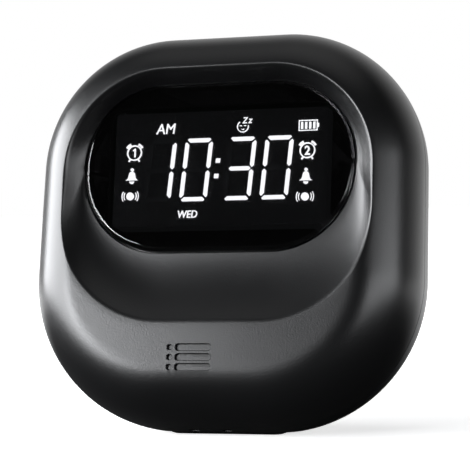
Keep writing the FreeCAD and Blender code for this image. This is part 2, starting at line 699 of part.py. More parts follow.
def rear_hollow():
    """Everything that is air in the rear shell."""
    body = new_body("rear_hollow")
    rear_dome(body, "wall")
    inside = new_sketch(body)
    draw_hull(inside, case_outline("wall"))
    pad(body, inside, "lip_height + overrun")
    for x, y in front_posts():
        post = new_sketch(body, "-rear_depth")
        draw_circle(post, x, y, "post_radius")
        pocket(body, post, "rear_depth")
    rear_face = "(rear_board_front + board_thickness)"
    for side in SIDES:
        post = new_sketch(body, "-rear_depth")
        draw_circle(post, f"{side} * rear_screw_x", "rear_screw_y", "board_post")
        pocket(body, post, f"rear_depth - {rear_face}")
        post = new_sketch(body, "-rear_depth")
        draw_circle(post, "clamp_middle", f"motor_rise + {side} * clamp_screw_y", "board_post")
        pocket(body, post, "rear_depth - motor_depth - clamp_thickness")
    for x in (f"{side} * cell_rib_x" for side in SIDES):
        leave_rib(body, x, "-cell_drop", "cell_depth + rib_drop",
                  "cell_radius + rib_margin")
    for x in ("can_left + can_rib_inset", "can_left + can_length - can_rib_inset"):
        leave_rib(body, x, "motor_rise", "motor_depth + rib_drop", "can_radius - rib_margin")
    bed = new_sketch(body, "-cell_length / 2 - overrun", "YZ_Plane")
    draw_circle(bed, "-cell_drop", "-cell_depth", "cell_radius + cradle_gap")
    pad(body, bed, "cell_length + 2 * overrun")
    bed = new_sketch(body, "can_left - cap_thickness - overrun", "YZ_Plane")
    draw_circle(bed, "motor_rise", "-motor_depth", "can_radius + cradle_gap")
    pad(body, bed, "can_length + cap_thickness + 2 * overrun")
    for x, y in front_posts():
        hole = new_sketch(body, "-post_depth - overrun")
        draw_circle(hole, x, y, "screw_radius + screw_gap")
        pad(body, hole, "post_depth + 2 * overrun")
        well = new_sketch(body, "-rear_depth - overrun")
        draw_circle(well, x, y, "screw_head + hole_gap")
        pad(body, well, "rear_depth + overrun - post_depth")
    for side in SIDES:
        hole = new_sketch(body, f"-{rear_face} - small_thread - overrun")
        draw_circle(hole, f"{side} * rear_screw_x", "rear_screw_y", "small_screw + screw_gap")
        pad(body, hole, "small_thread + 2 * overrun")
        hole = new_sketch(body, "-motor_depth - clamp_thickness - small_thread - overrun")
        draw_circle(hole, "clamp_middle", f"motor_rise + {side} * clamp_screw_y",
                    "small_screw + screw_gap")
        pad(body, hole, "small_thread + 2 * overrun")
    for x in button_places():
        opening = new_sketch(body, "-rear_depth - overrun")
        draw_hull(opening, button_outline(x, "button_gap"))
        pad(body, opening, "wall + 2 * overrun")
    mouth = new_sketch(body, "-rear_depth - overrun")
    draw_hull(mouth, rounded_box(
        "socket_half_width", "socket_half_height", "socket_half_height - end_flat",
        y="socket_rise", grow="socket_gap"))
    pad(body, mouth, "wall + 2 * overrun")
    top = new_sketch(body, "-half_height - overrun", "XZ_Plane")
    draw_box(top, "-snooze_half_length - button_gap", "snooze_half_length + button_gap",
             "-snooze_far - button_gap", "-snooze_near + button_gap")
    pad(body, top, "half_height + overrun - snooze_flange_top")
    return body


def make_rear_shell():
    form = new_body("rear_form")
    rear_dome(form)
    lip = new_sketch(form)
    draw_hull(lip, case_outline("wall / 2 + lip_gap"))
    pad(form, lip, "lip_height")
    flatten(form)
    finish("rear_shell", combine("Cut", "rear_cut", form, rear_hollow()))


def make_foot():
    """A rubber foot whose upper side follows the case."""
    body = new_body("rubber_foot")
    outline = level_sketch(body, "ground_drop")
    draw_hull(outline, rounded_box("foot_half_width", "foot_half_depth", "foot_corner", y="foot_middle"))
    pad(body, outline, "foot_wrap")
    rear_dome(body, "-seat_gap", "SubtractiveLoft")
    front_dome(body, "-seat_gap", "SubtractiveLoft")
    outline = level_sketch(body, "ground_drop")
    draw_hull(outline, rounded_box("foot_half_width", "foot_half_depth", "foot_corner", y="foot_middle"))
    pad(body, outline, "foot_flat")
    finish("rubber_foot", body)


# The window and the display

def make_lens():
    body = new_body("display_lens")
    outline = new_sketch(body, "lens_front - lens_thickness")
    draw_hull(outline, lens_outline())
    slab = pad(body, outline, "lens_thickness")
    round_face(body, slab, "lens_edge")
    finish("display_lens", body)


def make_lens_tape():
    body = new_body("lens_tape")
    outline = new_sketch(body, "lens_front - lens_thickness - tape_thickness")
    draw_hull(outline, lens_outline("-lens_gap"))
    draw_hull(outline, rounded_box(
        "window_half_width", "window_half_height", "window_corner", y="lens_rise"))
    pad(body, outline, "tape_thickness")
    finish("lens_tape", body)


def make_display():
    housing = new_body("display_housing")
    outline = new_sketch(housing, "board_front")
    draw_hull(outline, rounded_box(
        "display_half_width", "display_half_height", "display_corner", y="lens_rise"))
    pad(housing, outline, "display_depth")
    finish("display_housing", housing)


def segment_outlines():
    """The seven segments of a digit, as corner points before the slant."""
    half = size("digit_width / 2")
    rise = size("digit_height / 2")
    stroke = size("digit_stroke")
    gap = size("digit_gap")
    nose = stroke / 3
    side_end = rise - gap - nose

    def level(y, up):
        inner = y - up * stroke
        tip = half - gap
        return [(-tip + nose, y), (tip - nose, y), (tip, y - up * nose),
                (tip - stroke + nose, inner), (-tip + stroke - nose, inner), (-tip, y - up * nose)]

    tip = half - gap - stroke / 2
    middle = [(-tip, 0), (-tip + stroke / 2, stroke / 2), (tip - stroke / 2, stroke / 2),
              (tip, 0), (tip - stroke / 2, -stroke / 2), (-tip + stroke / 2, -stroke / 2)]
    outlines = [level(rise, 1), level(-rise, -1), middle]
    for side in SIDES:
        for up in SIDES:
            outlines.append([
                (side * half, up * (side_end - 2 * nose)), (side * half, up * (gap + stroke / 2)),
                (side * (half - stroke / 2), up * gap),
                (side * (half - stroke), up * (gap + stroke / 2)),
                (side * (half - stroke), up * (side_end - stroke)),
                (side * (half - nose), up * (side_end - nose))])
    return outlines


def make_digits():
    """Four digits and a colon, raised a little on the display's face."""
    base = size("board_front + display_depth")
    relief = size("segment_relief")
    slope = math.tan(math.radians(size("digit_slant")))
    pitch = size("digit_pitch")
    pair = size("pair_pitch")
    middle_x = -size("digits_left")
    middle_y = size("lens_rise")
    solids = []

    def raise_solid(points, x):
        corners = [Vector(middle_x + x + px + py * slope, middle_y + py, base) for px, py in points]
        face = Part.Face(Part.makePolygon(corners + corners[:1]))
        solids.append(face.extrude(Vector(0, 0, relief)))

    for pair_side in SIDES:
        for digit_side in SIDES:
            x = pair_side * pair / 2 + digit_side * pitch / 2
            for points in segment_outlines():
                raise_solid(points, x)
    half = size("colon_side") / 2
    spread = size("colon_spread") / 2
    for up in SIDES:
        dot = [(-half, -half), (half, -half), (half, half), (-half, half)]
        raise_solid([(px, py + up * spread) for px, py in dot], 0)
    feature = doc.addObject("Part::Feature", "digit_segments")
    feature.Shape = Part.makeCompound(solids)
    finish("digit_segments", feature)


def make_main_board():
    body = new_body("main_board")
    outline = new_sketch(body, "board_front - board_thickness")
    draw_hull(outline, rounded_box(
        "board_half_width", "board_half_height", "board_corner", y="lens_rise"))
    for x, y in board_posts():
        draw_circle(outline, x, y, "small_screw + hole_gap")
    pad(body, outline, "board_thickness")
    finish("main_board", body)


def make_board_components():
    """The larger components on the back of the main board."""
    back = "board_front - board_thickness"
    pieces = [
        block(name, left, right, low, high, f"{back} - {depth}", back)
        for name, left, right, low, high, depth in COMPONENTS]
    x, y, radius, depth = COIL
    pieces.append(disc("coil", radius, depth, x, y, f"{back} - {depth}"))
    finish("board_components", gather("component_group", pieces))


# The sound outlet and the speaker

def make_grille_insert():
    """A plate behind the chin whose raised bars and dots fill the outlet."""
    body = new_body("sound_insert")
    plate = new_sketch(body, "insert_seat - insert_plate")
    draw_hull(plate, insert_outline())
    pad(body, plate, "insert_plate")
    for row in ROWS:
        height = f"-outlet_drop + {row} * outlet_pitch"
        bars = new_sketch(body, "insert_seat - insert_plate / 2")
        draw_hull(bars, rounded_box(
            "outlet_slot / 2", "outlet_width / 2", "outlet_width / 2 - end_flat",
            x="outlet_slot_middle", y=height, grow="-insert_gap"))
        rise = "front_depth - insert_sink - insert_seat + insert_plate / 2"
        pad(body, bars, rise)
        dots = new_sketch(body, "insert_seat - insert_plate / 2")
        draw_circle(dots, "-outlet_dot_side", height, "outlet_dot - insert_gap")
        pad(body, dots, rise)
    finish("sound_insert", body)


def turned_in_case(label, points):
    """A turned piece of the speaker, about an axis out of the face."""
    body = new_body(f"{label}_turned")
    revolve(body, points)
    place(body, "0", "-speaker_drop", "speaker_front")
    finish(label, gather(f"{label}_holder", [body]))


def make_speaker():
    turned_in_case("speaker_frame", (
        ("magnet_radius - frame_sheet", "-speaker_depth + magnet_depth"),
        ("magnet_radius + frame_sheet", "-speaker_depth + magnet_depth"),
        ("speaker_radius - frame_rim + frame_sheet / 2", "-frame_sheet"),
        ("speaker_radius", "-frame_sheet"),
        ("speaker_radius", "0"),
        ("speaker_radius - frame_rim", "0"),
        ("speaker_radius - frame_rim - frame_sheet / 2", "-frame_sheet"),
        ("magnet_radius - frame_sheet", "-speaker_depth + magnet_depth + frame_sheet")))
    turned_in_case("speaker_cone", (
        ("0", "-1.9"), ("3", "-2.6"), ("speaker_radius - 2.9", "-0.5"),
        ("speaker_radius - 2.4", "0"), ("speaker_radius - 1.4", "0"),
        ("speaker_radius - 1.4", "0.3"), ("speaker_radius - 2.6", "0.3"),
        ("speaker_radius - 3.2", "-0.2"), ("3", "-2.1"), ("0", "-1.4")))
    turned_in_case("speaker_magnet", (
        ("0", "-speaker_depth"), ("magnet_radius", "-speaker_depth"),
        ("magnet_radius", "-speaker_depth + magnet_depth"),
        ("0", "-speaker_depth + magnet_depth")))
    turned_in_case("speaker_gasket", (
        ("speaker_radius - gasket_width", "0"), ("speaker_radius", "0"),
        ("speaker_radius", "gasket_thickness"),
        ("speaker_radius - gasket_width", "gasket_thickness")))


# The battery and the vibration motor

def make_battery():
    left = "-cell_length / 2"
    can = bar("cell_can", "cell_radius", "cell_length - tip_length", left, "-cell_drop", "-cell_depth")
    tip = bar("cell_tip", "tip_radius", "tip_length", f"{left} + cell_length - tip_length",
              "-cell_drop", "-cell_depth")
    finish("battery_cell", combine("Fuse", "cell_fuse", can, tip))
    tabs = []
    for side in SIDES:
        near = f"{side} * cell_length / 2"
        low, high = (near, f"{near} + tab_sheet") if side > 0 else (f"{near} - tab_sheet", near)
        tabs.append(block(
            f"tab_{side + 1}", low, high, "-cell_drop - tab_half_width", "-cell_drop + tab_half_width",
            "-cell_depth - tab_half_width", "-cell_depth + tab_reach"))
    finish("battery_tabs", gather("tab_group", tabs))
    band = new_body("battery_band")
    ring = new_sketch(band, "-band_width / 2", "YZ_Plane")
    draw_circle(ring, "-cell_drop", "-cell_depth", "cell_radius + band_gap + band_thickness")
    draw_circle(ring, "-cell_drop", "-cell_depth", "cell_radius + band_gap")
    pad(band, ring, "band_width")
    finish("battery_band", band)


def shaft_start():
    return "(can_left + can_length)"


def make_motor():
    right = shaft_start()
    can = bar("can_body", "can_radius", "can_length", "can_left", "motor_rise", "-motor_depth")
    bush = bar("can_bush", "bush_radius", "bush_length", right, "motor_rise", "-motor_depth")
    bore = bar("can_bore", "shaft_radius + shaft_gap",
               "shaft_play + shaft_hidden + bush_length + overrun",
               f"{right} - shaft_hidden - shaft_play", "motor_rise", "-motor_depth")
    solid = combine("Fuse", "can_fuse", can, bush)
    finish("motor_can", combine("Cut", "can_cut", solid, bore))
    finish("motor_end_cap", bar(
        "end_cap", "can_radius - cap_step", "cap_thickness", "can_left - cap_thickness",
        "motor_rise", "-motor_depth"))
    pins = []
    for side in SIDES:
        middle = f"motor_rise + {side} * pin_side"
        pins.append(block(
            f"pin_{side + 1}", "can_left - cap_thickness - pin_length", "can_left - cap_thickness",
            f"{middle} - pin_half_width", f"{middle} + pin_half_width",
            "-motor_depth - pin_half_sheet", "-motor_depth + pin_half_sheet"))
    finish("motor_terminals", gather("pin_group", pins))
    finish("motor_shaft", bar(
        "shaft", "shaft_radius",
        "shaft_hidden + bush_length + weight_gap + weight_length + shaft_end",
        f"{right} - shaft_hidden", "motor_rise", "-motor_depth"))


def make_weight():
    """Half a cylinder that hangs straight down, with a hub round the shaft."""
    start = f"{shaft_start()} + bush_length + weight_gap"
    body = new_body("weight_form")
    profile = new_sketch(body, start, "YZ_Plane")
    draw_circle(profile, "motor_rise", "-motor_depth", "weight_radius")
    pad(body, profile, "weight_length")
    half = new_sketch(body, start, "YZ_Plane")
    corners = []
    reach = "(weight_radius + overrun)"
    for up, back in ((0, -1), (0, 1), (1, 1), (1, -1)):
        rise = f"({up} * cos(lean * 1 deg) + {back} * sin(lean * 1 deg))"
        front = f"({up} * sin(lean * 1 deg) - {back} * cos(lean * 1 deg))"
        corners.append((f"motor_rise + {reach} * {rise}", f"-motor_depth + {reach} * {front}"))
    draw_polygon(half, corners)
    pocket(body, half, "weight_length")
    hub = new_sketch(body, start, "YZ_Plane")
    draw_circle(hub, "motor_rise", "-motor_depth", "weight_hub")
    pad(body, hub, "weight_length")
    bore = new_sketch(body, start, "YZ_Plane")
    draw_circle(bore, "motor_rise", "-motor_depth", "shaft_radius + weight_fit")
    pocket(body, bore, "weight_length")
    finish("eccentric_weight", body)


def make_clamp():
    """A strip bent over the motor, with a foot on each side."""
    body = new_body("motor_clamp")
    left = "clamp_middle - clamp_width / 2"
    inner = "(can_radius + seat_gap)"
    arch = new_sketch(body, left, "YZ_Plane")
    draw_circle(arch, "motor_rise", "-motor_depth", f"{inner} + clamp_thickness")
    draw_circle(arch, "motor_rise", "-motor_depth", inner)
    pad(body, arch, "clamp_width")
    below = new_sketch(body, left, "YZ_Plane")
    draw_box(below, "motor_rise - 2 * can_radius", "motor_rise + 2 * can_radius",
             "-motor_depth - 2 * can_radius", "-motor_depth - clamp_thickness")
    pocket(body, below, "clamp_width")
    for side in SIDES:
        foot = new_sketch(body, left, "YZ_Plane")
        near = f"motor_rise + {side} * ({inner} + clamp_thickness / 2)"
        far = f"motor_rise + {side} * (clamp_screw_y + clamp_margin)"
        low, high = (near, far) if side > 0 else (far, near)
        draw_box(foot, low, high, "-motor_depth - clamp_thickness", "-motor_depth")
        pad(body, foot, "clamp_width")
    for side in SIDES:
        hole = new_sketch(body, "-motor_depth - clamp_thickness")
        draw_circle(hole, "clamp_middle", f"motor_rise + {side} * clamp_screw_y",
                    "small_screw + hole_gap")
        pocket(body, hole, "clamp_thickness")
    finish("motor_clamp", body)


# Screws

def screw(label, shank, length, head, head_height, x, y, seat, way):
    """A pan-head screw: its head on a seat, its shank along Z in the given way."""
    body = new_body(label)
    stem = new_sketch(body, seat)
    draw_circle(stem, x, y, shank)
    pad(body, stem, length, upward=way > 0)
    cap = new_sketch(body, seat)
    draw_circle(cap, x, y, head)
    pad(body, cap, head_height, upward=way < 0)
    cross = new_sketch(body, f"{seat} - {way} * ({head_height})")
    reach = f"({head}) * driver_share"
    draw_box(cross, f"{x} - {reach}", f"{x} + {reach}",
             f"{y} - driver_width / 2", f"{y} + driver_width / 2")
    pocket(body, cross, f"({head_height}) / 2", upward=way > 0)
    return body


def make_screws():
    case = [
        screw(f"case_screw_{number}", "screw_radius", "post_depth + thread_depth", "screw_head",
              "screw_head_height", x, y, "-post_depth", 1)
        for number, (x, y) in enumerate(front_posts())]
    finish("case_screws", gather("case_screw_group", case))
    board = [
        screw(f"board_screw_{number}", "small_screw", "board_thickness + small_thread", "small_head",
              "small_head_height", x, y, "board_front - board_thickness", 1)
        for number, (x, y) in enumerate(board_posts())]
    finish("board_screws", gather("board_screw_group", board))
    rear = [
        screw(f"rear_screw_{side + 1}", "small_screw", "board_thickness + small_thread", "small_head",
              "small_head_height", f"{side} * rear_screw_x", "rear_screw_y",
              "-rear_board_front", -1)
        for side in SIDES]
    finish("rear_board_screws", gather("rear_screw_group", rear))
    clamp = [
        screw(f"clamp_screw_{side + 1}", "small_screw", "clamp_thickness + small_thread", "small_head",
              "small_head_height", "clamp_middle", f"motor_rise + {side} * clamp_screw_y",
              "-motor_depth", -1)
        for side in SIDES]
    finish("clamp_screws", gather("clamp_screw_group", clamp))


# The rear board, its switches and the socket

def make_rear_board():
    body = new_body("rear_board")
    outline = new_sketch(body, "-rear_board_front - board_thickness")
    draw_box(outline, "-rear_board_half_width", "rear_board_half_width",
             "rear_board_low", "rear_board_high")
    for side in SIDES:
        draw_circle(outline, f"{side} * rear_screw_x", "rear_screw_y", "small_screw + hole_gap")
    pad(body, outline, "board_thickness")
    finish("rear_board", body)


def switch_tip():
    """Depth of a rear switch's plunger tip behind the parting plane."""
    return "(rear_board_front + board_thickness + switch_height + plunger_proud)"


def make_switches():
    """Five switches that face the rear and one that faces up."""
    foot = "(rear_board_front + board_thickness)"
    depth = "(overrun + plunger_depth + plunger_travel + plunger_spare)"
    housings = []
    for number, x in enumerate(button_places()):
        cube = block(f"switch_{number}", f"{x} - switch_half_side", f"{x} + switch_half_side",
                     "button_rise - switch_half_side", "button_rise + switch_half_side",
                     f"-{foot} - switch_height", f"-{foot}")
        bore = disc(f"switch_bore_{number}", "plunger_radius + plunger_gap", depth,
                    x, "button_rise", f"-{foot} - switch_height - overrun")
        housings.append(combine("Cut", f"switch_cut_{number}", cube, bore))
    cube = block("snooze_switch", "-switch_half_side", "switch_half_side",
                 "snooze_switch_low", "snooze_switch_low + switch_height",
                 "-rear_board_front", "-rear_board_front + 2 * switch_half_side")
    bore = doc.addObject("Part::Cylinder", "snooze_bore")
    bore.Placement = Placement(Vector(0, 0, 0), Rotation(Vector(1, 0, 0), -90))
    bind(bore, "Radius", "plunger_radius + plunger_gap")
    bind(bore, "Height", depth)
    place(bore, "0", f"snooze_switch_low + switch_height + overrun - {depth}",
          "-rear_board_front + switch_half_side")
    housings.append(combine("Cut", "snooze_switch_cut", cube, bore))
    finish("switch_housings", gather("switch_group", housings))


def make_buttons():
    for name, x in zip(BUTTON_NAMES, button_places()):
        button = new_body(f"{name}_button")
        outside = "(rear_depth + button_proud)"
        flange_top = "(rear_depth - wall - button_play)"
        cap = new_sketch(button, f"-{outside}")
        draw_hull(cap, button_outline(x))
        pad(button, cap, f"{outside} - {flange_top}")
        flange = new_sketch(button, f"-{flange_top}")
        draw_hull(flange, button_outline(x, "button_flange"))
        pad(button, flange, "button_flange")
        stem = new_sketch(button, f"-{flange_top} + button_flange / 2")
        draw_circle(stem, x, "button_rise", "button_stem")
        solid = pad(button, stem, f"{flange_top} - button_flange / 2 - {switch_tip()}")
        round_face(button, solid, "button_edge", way=-1)
        finish(f"{name}_button", button)
        finish(f"{name}_plunger", disc(
            f"{name}_plunger_rod", "plunger_radius", "plunger_proud + plunger_depth",
            x, "button_rise", f"-{switch_tip()}"))


def make_snooze_bar():
    """A bar whose top follows the case, with a flange and a stem below it."""
    body = new_body("snooze_form")
    rear_dome(body, "-snooze_proud")
    cover = new_body("snooze_cut")
    sides = new_sketch(cover, "-half_height - 2 * overrun", "XZ_Plane")
    draw_box(sides, "-snooze_half_length", "snooze_half_length", "-snooze_far", "-snooze_near")
    pad(cover, sides, "half_height + 2 * overrun - snooze_flange_top + snooze_flange")
    flange = new_sketch(cover, "-snooze_flange_top", "XZ_Plane")
    draw_box(flange, "-snooze_half_length - snooze_flange", "snooze_half_length + snooze_flange",
             "-snooze_far - snooze_flange", "-snooze_near + snooze_flange")
    pad(cover, flange, "snooze_flange")
    stem = new_sketch(cover, "-snooze_flange_top + snooze_flange / 2", "XZ_Plane")
    draw_circle(stem, "0", "-rear_board_front + switch_half_side", "button_stem")
    tip = "(snooze_switch_low + switch_height + plunger_proud)"
    pad(cover, stem, f"snooze_flange_top - snooze_flange / 2 - {tip}")
    finish("snooze_bar", combine("Common", "snooze_common", body, cover))
    rod = doc.addObject("Part::Cylinder", "snooze_rod")
    rod.Placement = Placement(Vector(0, 0, 0), Rotation(Vector(1, 0, 0), -90))
    bind(rod, "Radius", "plunger_radius")
    bind(rod, "Height", "plunger_proud + plunger_depth")
    place(rod, "0", f"{tip} - plunger_proud - plunger_depth", "-rear_board_front + switch_half_side")
    finish("snooze_plunger", rod)


def make_socket():
    foot = "(rear_board_front + board_thickness)"
    mouth = "(rear_depth - socket_sink)"
    shell = new_body("charge_socket")
    outline = new_sketch(shell, f"-{mouth}")
    draw_hull(outline, rounded_box(
        "socket_half_width", "socket_half_height", "socket_half_height - end_flat", y="socket_rise"))
    pad(shell, outline, f"{mouth} - {foot}")
    inside = new_sketch(shell, f"-{mouth}")
    draw_hull(inside, rounded_box(
        "socket_half_width", "socket_half_height", "socket_half_height - end_flat",
        y="socket_rise", grow="-socket_sheet"))
    pocket(shell, inside, f"{mouth} - {foot} - socket_floor")
    finish("charge_socket", shell)
    finish("socket_tongue", block(
        "tongue", "-tongue_half_width", "tongue_half_width",
        "socket_rise - tongue_thickness / 2", "socket_rise + tongue_thickness / 2",
        f"-{mouth} + tongue_sink", f"-{foot} - socket_floor"))


def make_board_link():
    """A flat strip between two headers, one on each board."""
    rise = "(rear_board_high - header_half_height - header_edge)"
    far = "(-rear_board_front)"
    near = "(board_front - board_thickness)"
    headers = []
    for name, back in (("main_header", f"{near} - header_depth"), ("rear_header", far)):
        headers.append(block(
            name, "link_side - header_half_width", "link_side + header_half_width",
            f"{rise} - header_half_height", f"{rise} + header_half_height",
            back, f"{back} + header_depth"))
    finish("link_headers", gather("header_group", headers))
    finish("board_link", block(
        "link_strip", "link_side - ribbon_width / 2", "link_side + ribbon_width / 2",
        f"{rise} - ribbon_thickness / 2", f"{rise} + ribbon_thickness / 2",
        f"{far} + header_depth", f"{near} - header_depth"))


# Leads

def lead_path(points):
    """Straight runs joined by tangent arcs as large as the runs allow."""
    places = [Vector(*(size(part) for part in point)) for point in points]
    edges = []
    cursor = places[0]
    for before, corner, after in zip(places, places[1:], places[2:]):
        arrive = corner - before
        leave = after - corner
        half_turn = arrive.getAngle(leave) / 2
        setback = 0.45 * min(arrive.Length, leave.Length)
        start = corner - arrive.normalize() * setback
        stop = corner + leave.normalize() * setback
        middle = (start + stop) / 2
        inward = (middle - corner).normalize()
        radius = setback / math.tan(half_turn)
        centre = corner + inward * (radius / math.cos(half_turn))
        top = centre - inward * radius
        edges.append(Part.LineSegment(cursor, start).toShape())
        edges.append(Part.Arc(start, top, stop).toShape())
        cursor = stop
    edges.append(Part.LineSegment(cursor, places[-1]).toShape())
    return Part.Wire(edges)


def lead(points):
    path = lead_path(points)
    start = path.Edges[0].Vertexes[0].Point
    direction = path.Edges[0].Vertexes[1].Point - start
    ring = Part.makeCircle(size("lead_radius"), start, direction)
    return path.makePipeShell([Part.Wire([ring])], True, True)


def leads(label, routes):
    feature = doc.addObject("Part::Feature", label)
    feature.Shape = Part.makeCompound([lead(points) for points in routes])
    finish(label, feature)


def make_leads():
    """Pairs of leads from the speaker, the battery and the motor to the main board's plugs."""
    plug = "(board_front - board_thickness)"
    tab = "(cell_length / 2 + tab_sheet / 2)"
    pin = "(can_left - cap_thickness - pin_length)"
    speaker = []
    motor = []
    for side in SIDES:
        shift = f"{side} * lead_pitch / 2"
        speaker.append((
            (f"-20.5 + {shift}", "-8 - lead_gap", f"{plug} - 1"),
            (f"-20.5 + {shift}", "-12.5", f"{plug} - 0.8"),
            (f"-17 + {shift}", "-22", f"{plug} + 0.6"),
            (f"-magnet_radius - 5 + {shift} / 2", f"-speaker_drop + {shift}", f"{plug} + 1.8"),
            ("-magnet_radius - lead_gap", f"-speaker_drop + {shift}", f"{plug} + 2.8")))
        motor.append((
            (f"{pin} - lead_gap", f"motor_rise + {side} * pin_side", "-motor_depth"),
            (f"{pin} - 4", f"motor_rise + {side} * pin_side", "-motor_depth + 0.8"),
            (f"{pin} - 3.5", f"5.5 + {shift} * 1.5", "-motor_depth + 6.4"),
            ("-29", f"5.5 + {shift}", f"{plug} - 2 - 2 * lead_gap")))
    battery = [
        ((tab, "-cell_drop", "-cell_depth + tab_reach + lead_gap"),
         (f"{tab} + 0.2", "-cell_drop + 2", f"{plug} - 1.2"),
         ("24", "-17", f"{plug} - 0.6"), ("13", "-13", f"{plug} - 1.1"),
         ("13", "-8 - lead_gap", f"{plug} - 1.1")),
        ((f"-{tab}", "-cell_drop", "-cell_depth + tab_reach + lead_gap"),
         (f"-{tab} - 0.2", "-cell_drop + 2", f"{plug} - 1.2"),
         ("-22", "-15", f"{plug} - 3.4"), ("6", "-15", f"{plug} - 3"),
         ("10.2", "-12", f"{plug} - 1.3"), ("10.2", "-8 - lead_gap", f"{plug} - 1.1")),
    ]
    leads("speaker_leads", speaker)
    leads("motor_leads", motor)
    leads("battery_leads", battery)


BUILDERS = (
    make_front_shell, make_rear_shell, make_foot, make_lens, make_lens_tape, make_display,
    make_digits, make_main_board, make_board_components, make_grille_insert, make_speaker,
    make_battery, make_motor, make_weight, make_clamp, make_screws, make_rear_board,
    make_switches, make_buttons, make_snooze_bar, make_socket, make_board_link, make_leads,
)

for build in BUILDERS:
    build()
doc.recompute()

for thing in doc.Objects:
    if "Invalid" in thing.State or "Error" in thing.State:
        raise RuntimeError(f"{thing.Label} did not build: {thing.State}")
for thing in parts:
    if thing.Shape.isNull() or not thing.Shape.isValid() or not thing.Shape.Solids:
        raise RuntimeError(f"{thing.Label} has no sound shape")

os.makedirs("parts", exist_ok=True)
for thing in parts:
    thing.Shape.exportStep(f"parts/{thing.Label}.step")
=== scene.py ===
import math

import bmesh
import bpy
import numpy as np
from mathutils import Matrix, Vector


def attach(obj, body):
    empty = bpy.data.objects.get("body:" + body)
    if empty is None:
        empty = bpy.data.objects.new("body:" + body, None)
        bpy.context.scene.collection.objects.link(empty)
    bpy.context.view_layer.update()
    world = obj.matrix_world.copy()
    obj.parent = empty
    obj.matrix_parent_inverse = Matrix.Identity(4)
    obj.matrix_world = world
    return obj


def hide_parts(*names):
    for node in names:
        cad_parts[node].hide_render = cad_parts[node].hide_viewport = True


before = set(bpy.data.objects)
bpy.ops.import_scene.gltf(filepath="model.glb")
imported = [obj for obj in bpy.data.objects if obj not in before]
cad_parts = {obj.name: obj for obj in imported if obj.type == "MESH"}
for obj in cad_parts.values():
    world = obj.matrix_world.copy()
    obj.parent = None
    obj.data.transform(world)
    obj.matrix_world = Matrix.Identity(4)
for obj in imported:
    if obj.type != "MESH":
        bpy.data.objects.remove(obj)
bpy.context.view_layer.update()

# Sizes in metres: U runs right, V up the face, W out of the face, from the middle of the parting plane

MM = 0.001
LEAN = math.radians(12)
GROUND_DROP = 50 * MM
FOOT_MIDDLE = 1 * MM
HALF_WIDTH = 50 * MM
HALF_HEIGHT = 50.3 * MM
TOP_NARROWING = 0.3 * MM
CORNER_TOP = 34.8 * MM
CORNER_BOTTOM = 38 * MM
WALL = 2.2 * MM
FRONT_DEPTH = 18 * MM
FRONT_REACH = 14 * MM
REAR_DEPTH = 26 * MM
REAR_REACH = 17 * MM
PARTING_CHAMFER = 0.18 * MM
RIM_HALF_WIDTH = 40.1 * MM
RIM_HALF_HEIGHT = 31.7 * MM
RIM_MIDDLE = 0.8 * MM
RIM_RISE = 7 * MM
RIM_CORNER_TOP = 26.8 * MM
RIM_CORNER_BOTTOM = 27.5 * MM
RIM_ROUNDING = 0.7 * MM
RECESS_FLOOR = 13 * MM
RECESS_WIDE = 14 * MM
LENS_HALF_WIDTH = 34.9 * MM
LENS_HALF_HEIGHT = 21.2 * MM
LENS_RISE = 14.4 * MM
LENS_CORNER = 20.5 * MM
LENS_THICKNESS = 3 * MM
LENS_FRONT = 14 * MM
LENS_EDGE = 1.2 * MM
LENS_GAP = 0.35 * MM
SEAT_ROUNDING = 0.2 * MM
COLLAR = 1.4 * MM
TAPE_THICKNESS = 0.3 * MM
LEDGE_THICKNESS = 1.3 * MM
WINDOW_HALF_WIDTH = 29 * MM
WINDOW_HALF_HEIGHT = 16 * MM
WINDOW_CORNER = 4 * MM
DISPLAY_FACE = 10.3 * MM
MARK_RELIEF = 0.3 * MM
OUTLET_DROP = 33.6 * MM
OUTLET_PITCH = 2.4 * MM
OUTLET_SLOT = 9.1 * MM
OUTLET_SLOT_MIDDLE = -2.8 * MM
OUTLET_WIDTH = 1.6 * MM
OUTLET_DEPTH = 0.8 * MM
OUTLET_CHAMFER = 0.14 * MM
OUTLET_DOT = 1.3 * MM
OUTLET_DOT_MIDDLE = -8.8 * MM
STRAP_SLOT_MIDDLE = -2.5 * MM
STRAP_SLOT_SIDE = 4.2 * MM
STRAP_SLOT_FORWARD = 3 * MM
STRAP_SLOT_WIDTH = 2.2 * MM
STRAP_SLOT_HEIGHT = 1.6 * MM
SCREW_PLACES = (
    (36.6 * MM, 26 * MM), (-36.6 * MM, 26 * MM),
    (38.5 * MM, -23.5 * MM), (-38.5 * MM, -23.5 * MM))
POST_RADIUS = 3.6 * MM
POST_DEPTH = 12 * MM
WELL_RADIUS = 2.7 * MM
SCREW_HOLE = 1.36 * MM
BUTTON_RISE = 26 * MM
BUTTON_PITCH = 10.5 * MM
BUTTON_HALF_LENGTH = 3.9 * MM
BUTTON_HALF_HEIGHT = 2.4 * MM
BUTTON_GAP = 0.25 * MM
BUTTON_PROUD = 1 * MM
BUTTON_EDGE = 0.45 * MM
BUTTON_NAMES = ("mode", "alarm_one", "alarm_two", "minus", "plus")
SOCKET_RISE = 19.4 * MM
SOCKET_HALF_WIDTH = 4.77 * MM
SOCKET_HALF_HEIGHT = 1.9 * MM
SNOOZE_HALF_LENGTH = 20 * MM
SNOOZE_NEAR = 5 * MM
SNOOZE_FAR = 15 * MM
SNOOZE_PROUD = 0.5 * MM
SNOOZE_LOW = 41.1 * MM
SNOOZE_EDGE = 0.35 * MM
FOOT_HALF_WIDTH = 17 * MM
FOOT_HALF_DEPTH = 12 * MM
FOOT_CORNER = 5 * MM
FOOT_FLAT = 0.8 * MM
FOOT_WRAP = 6 * MM
FOOT_GAP = 0.1 * MM
FOOT_EDGE = 3.5 * MM

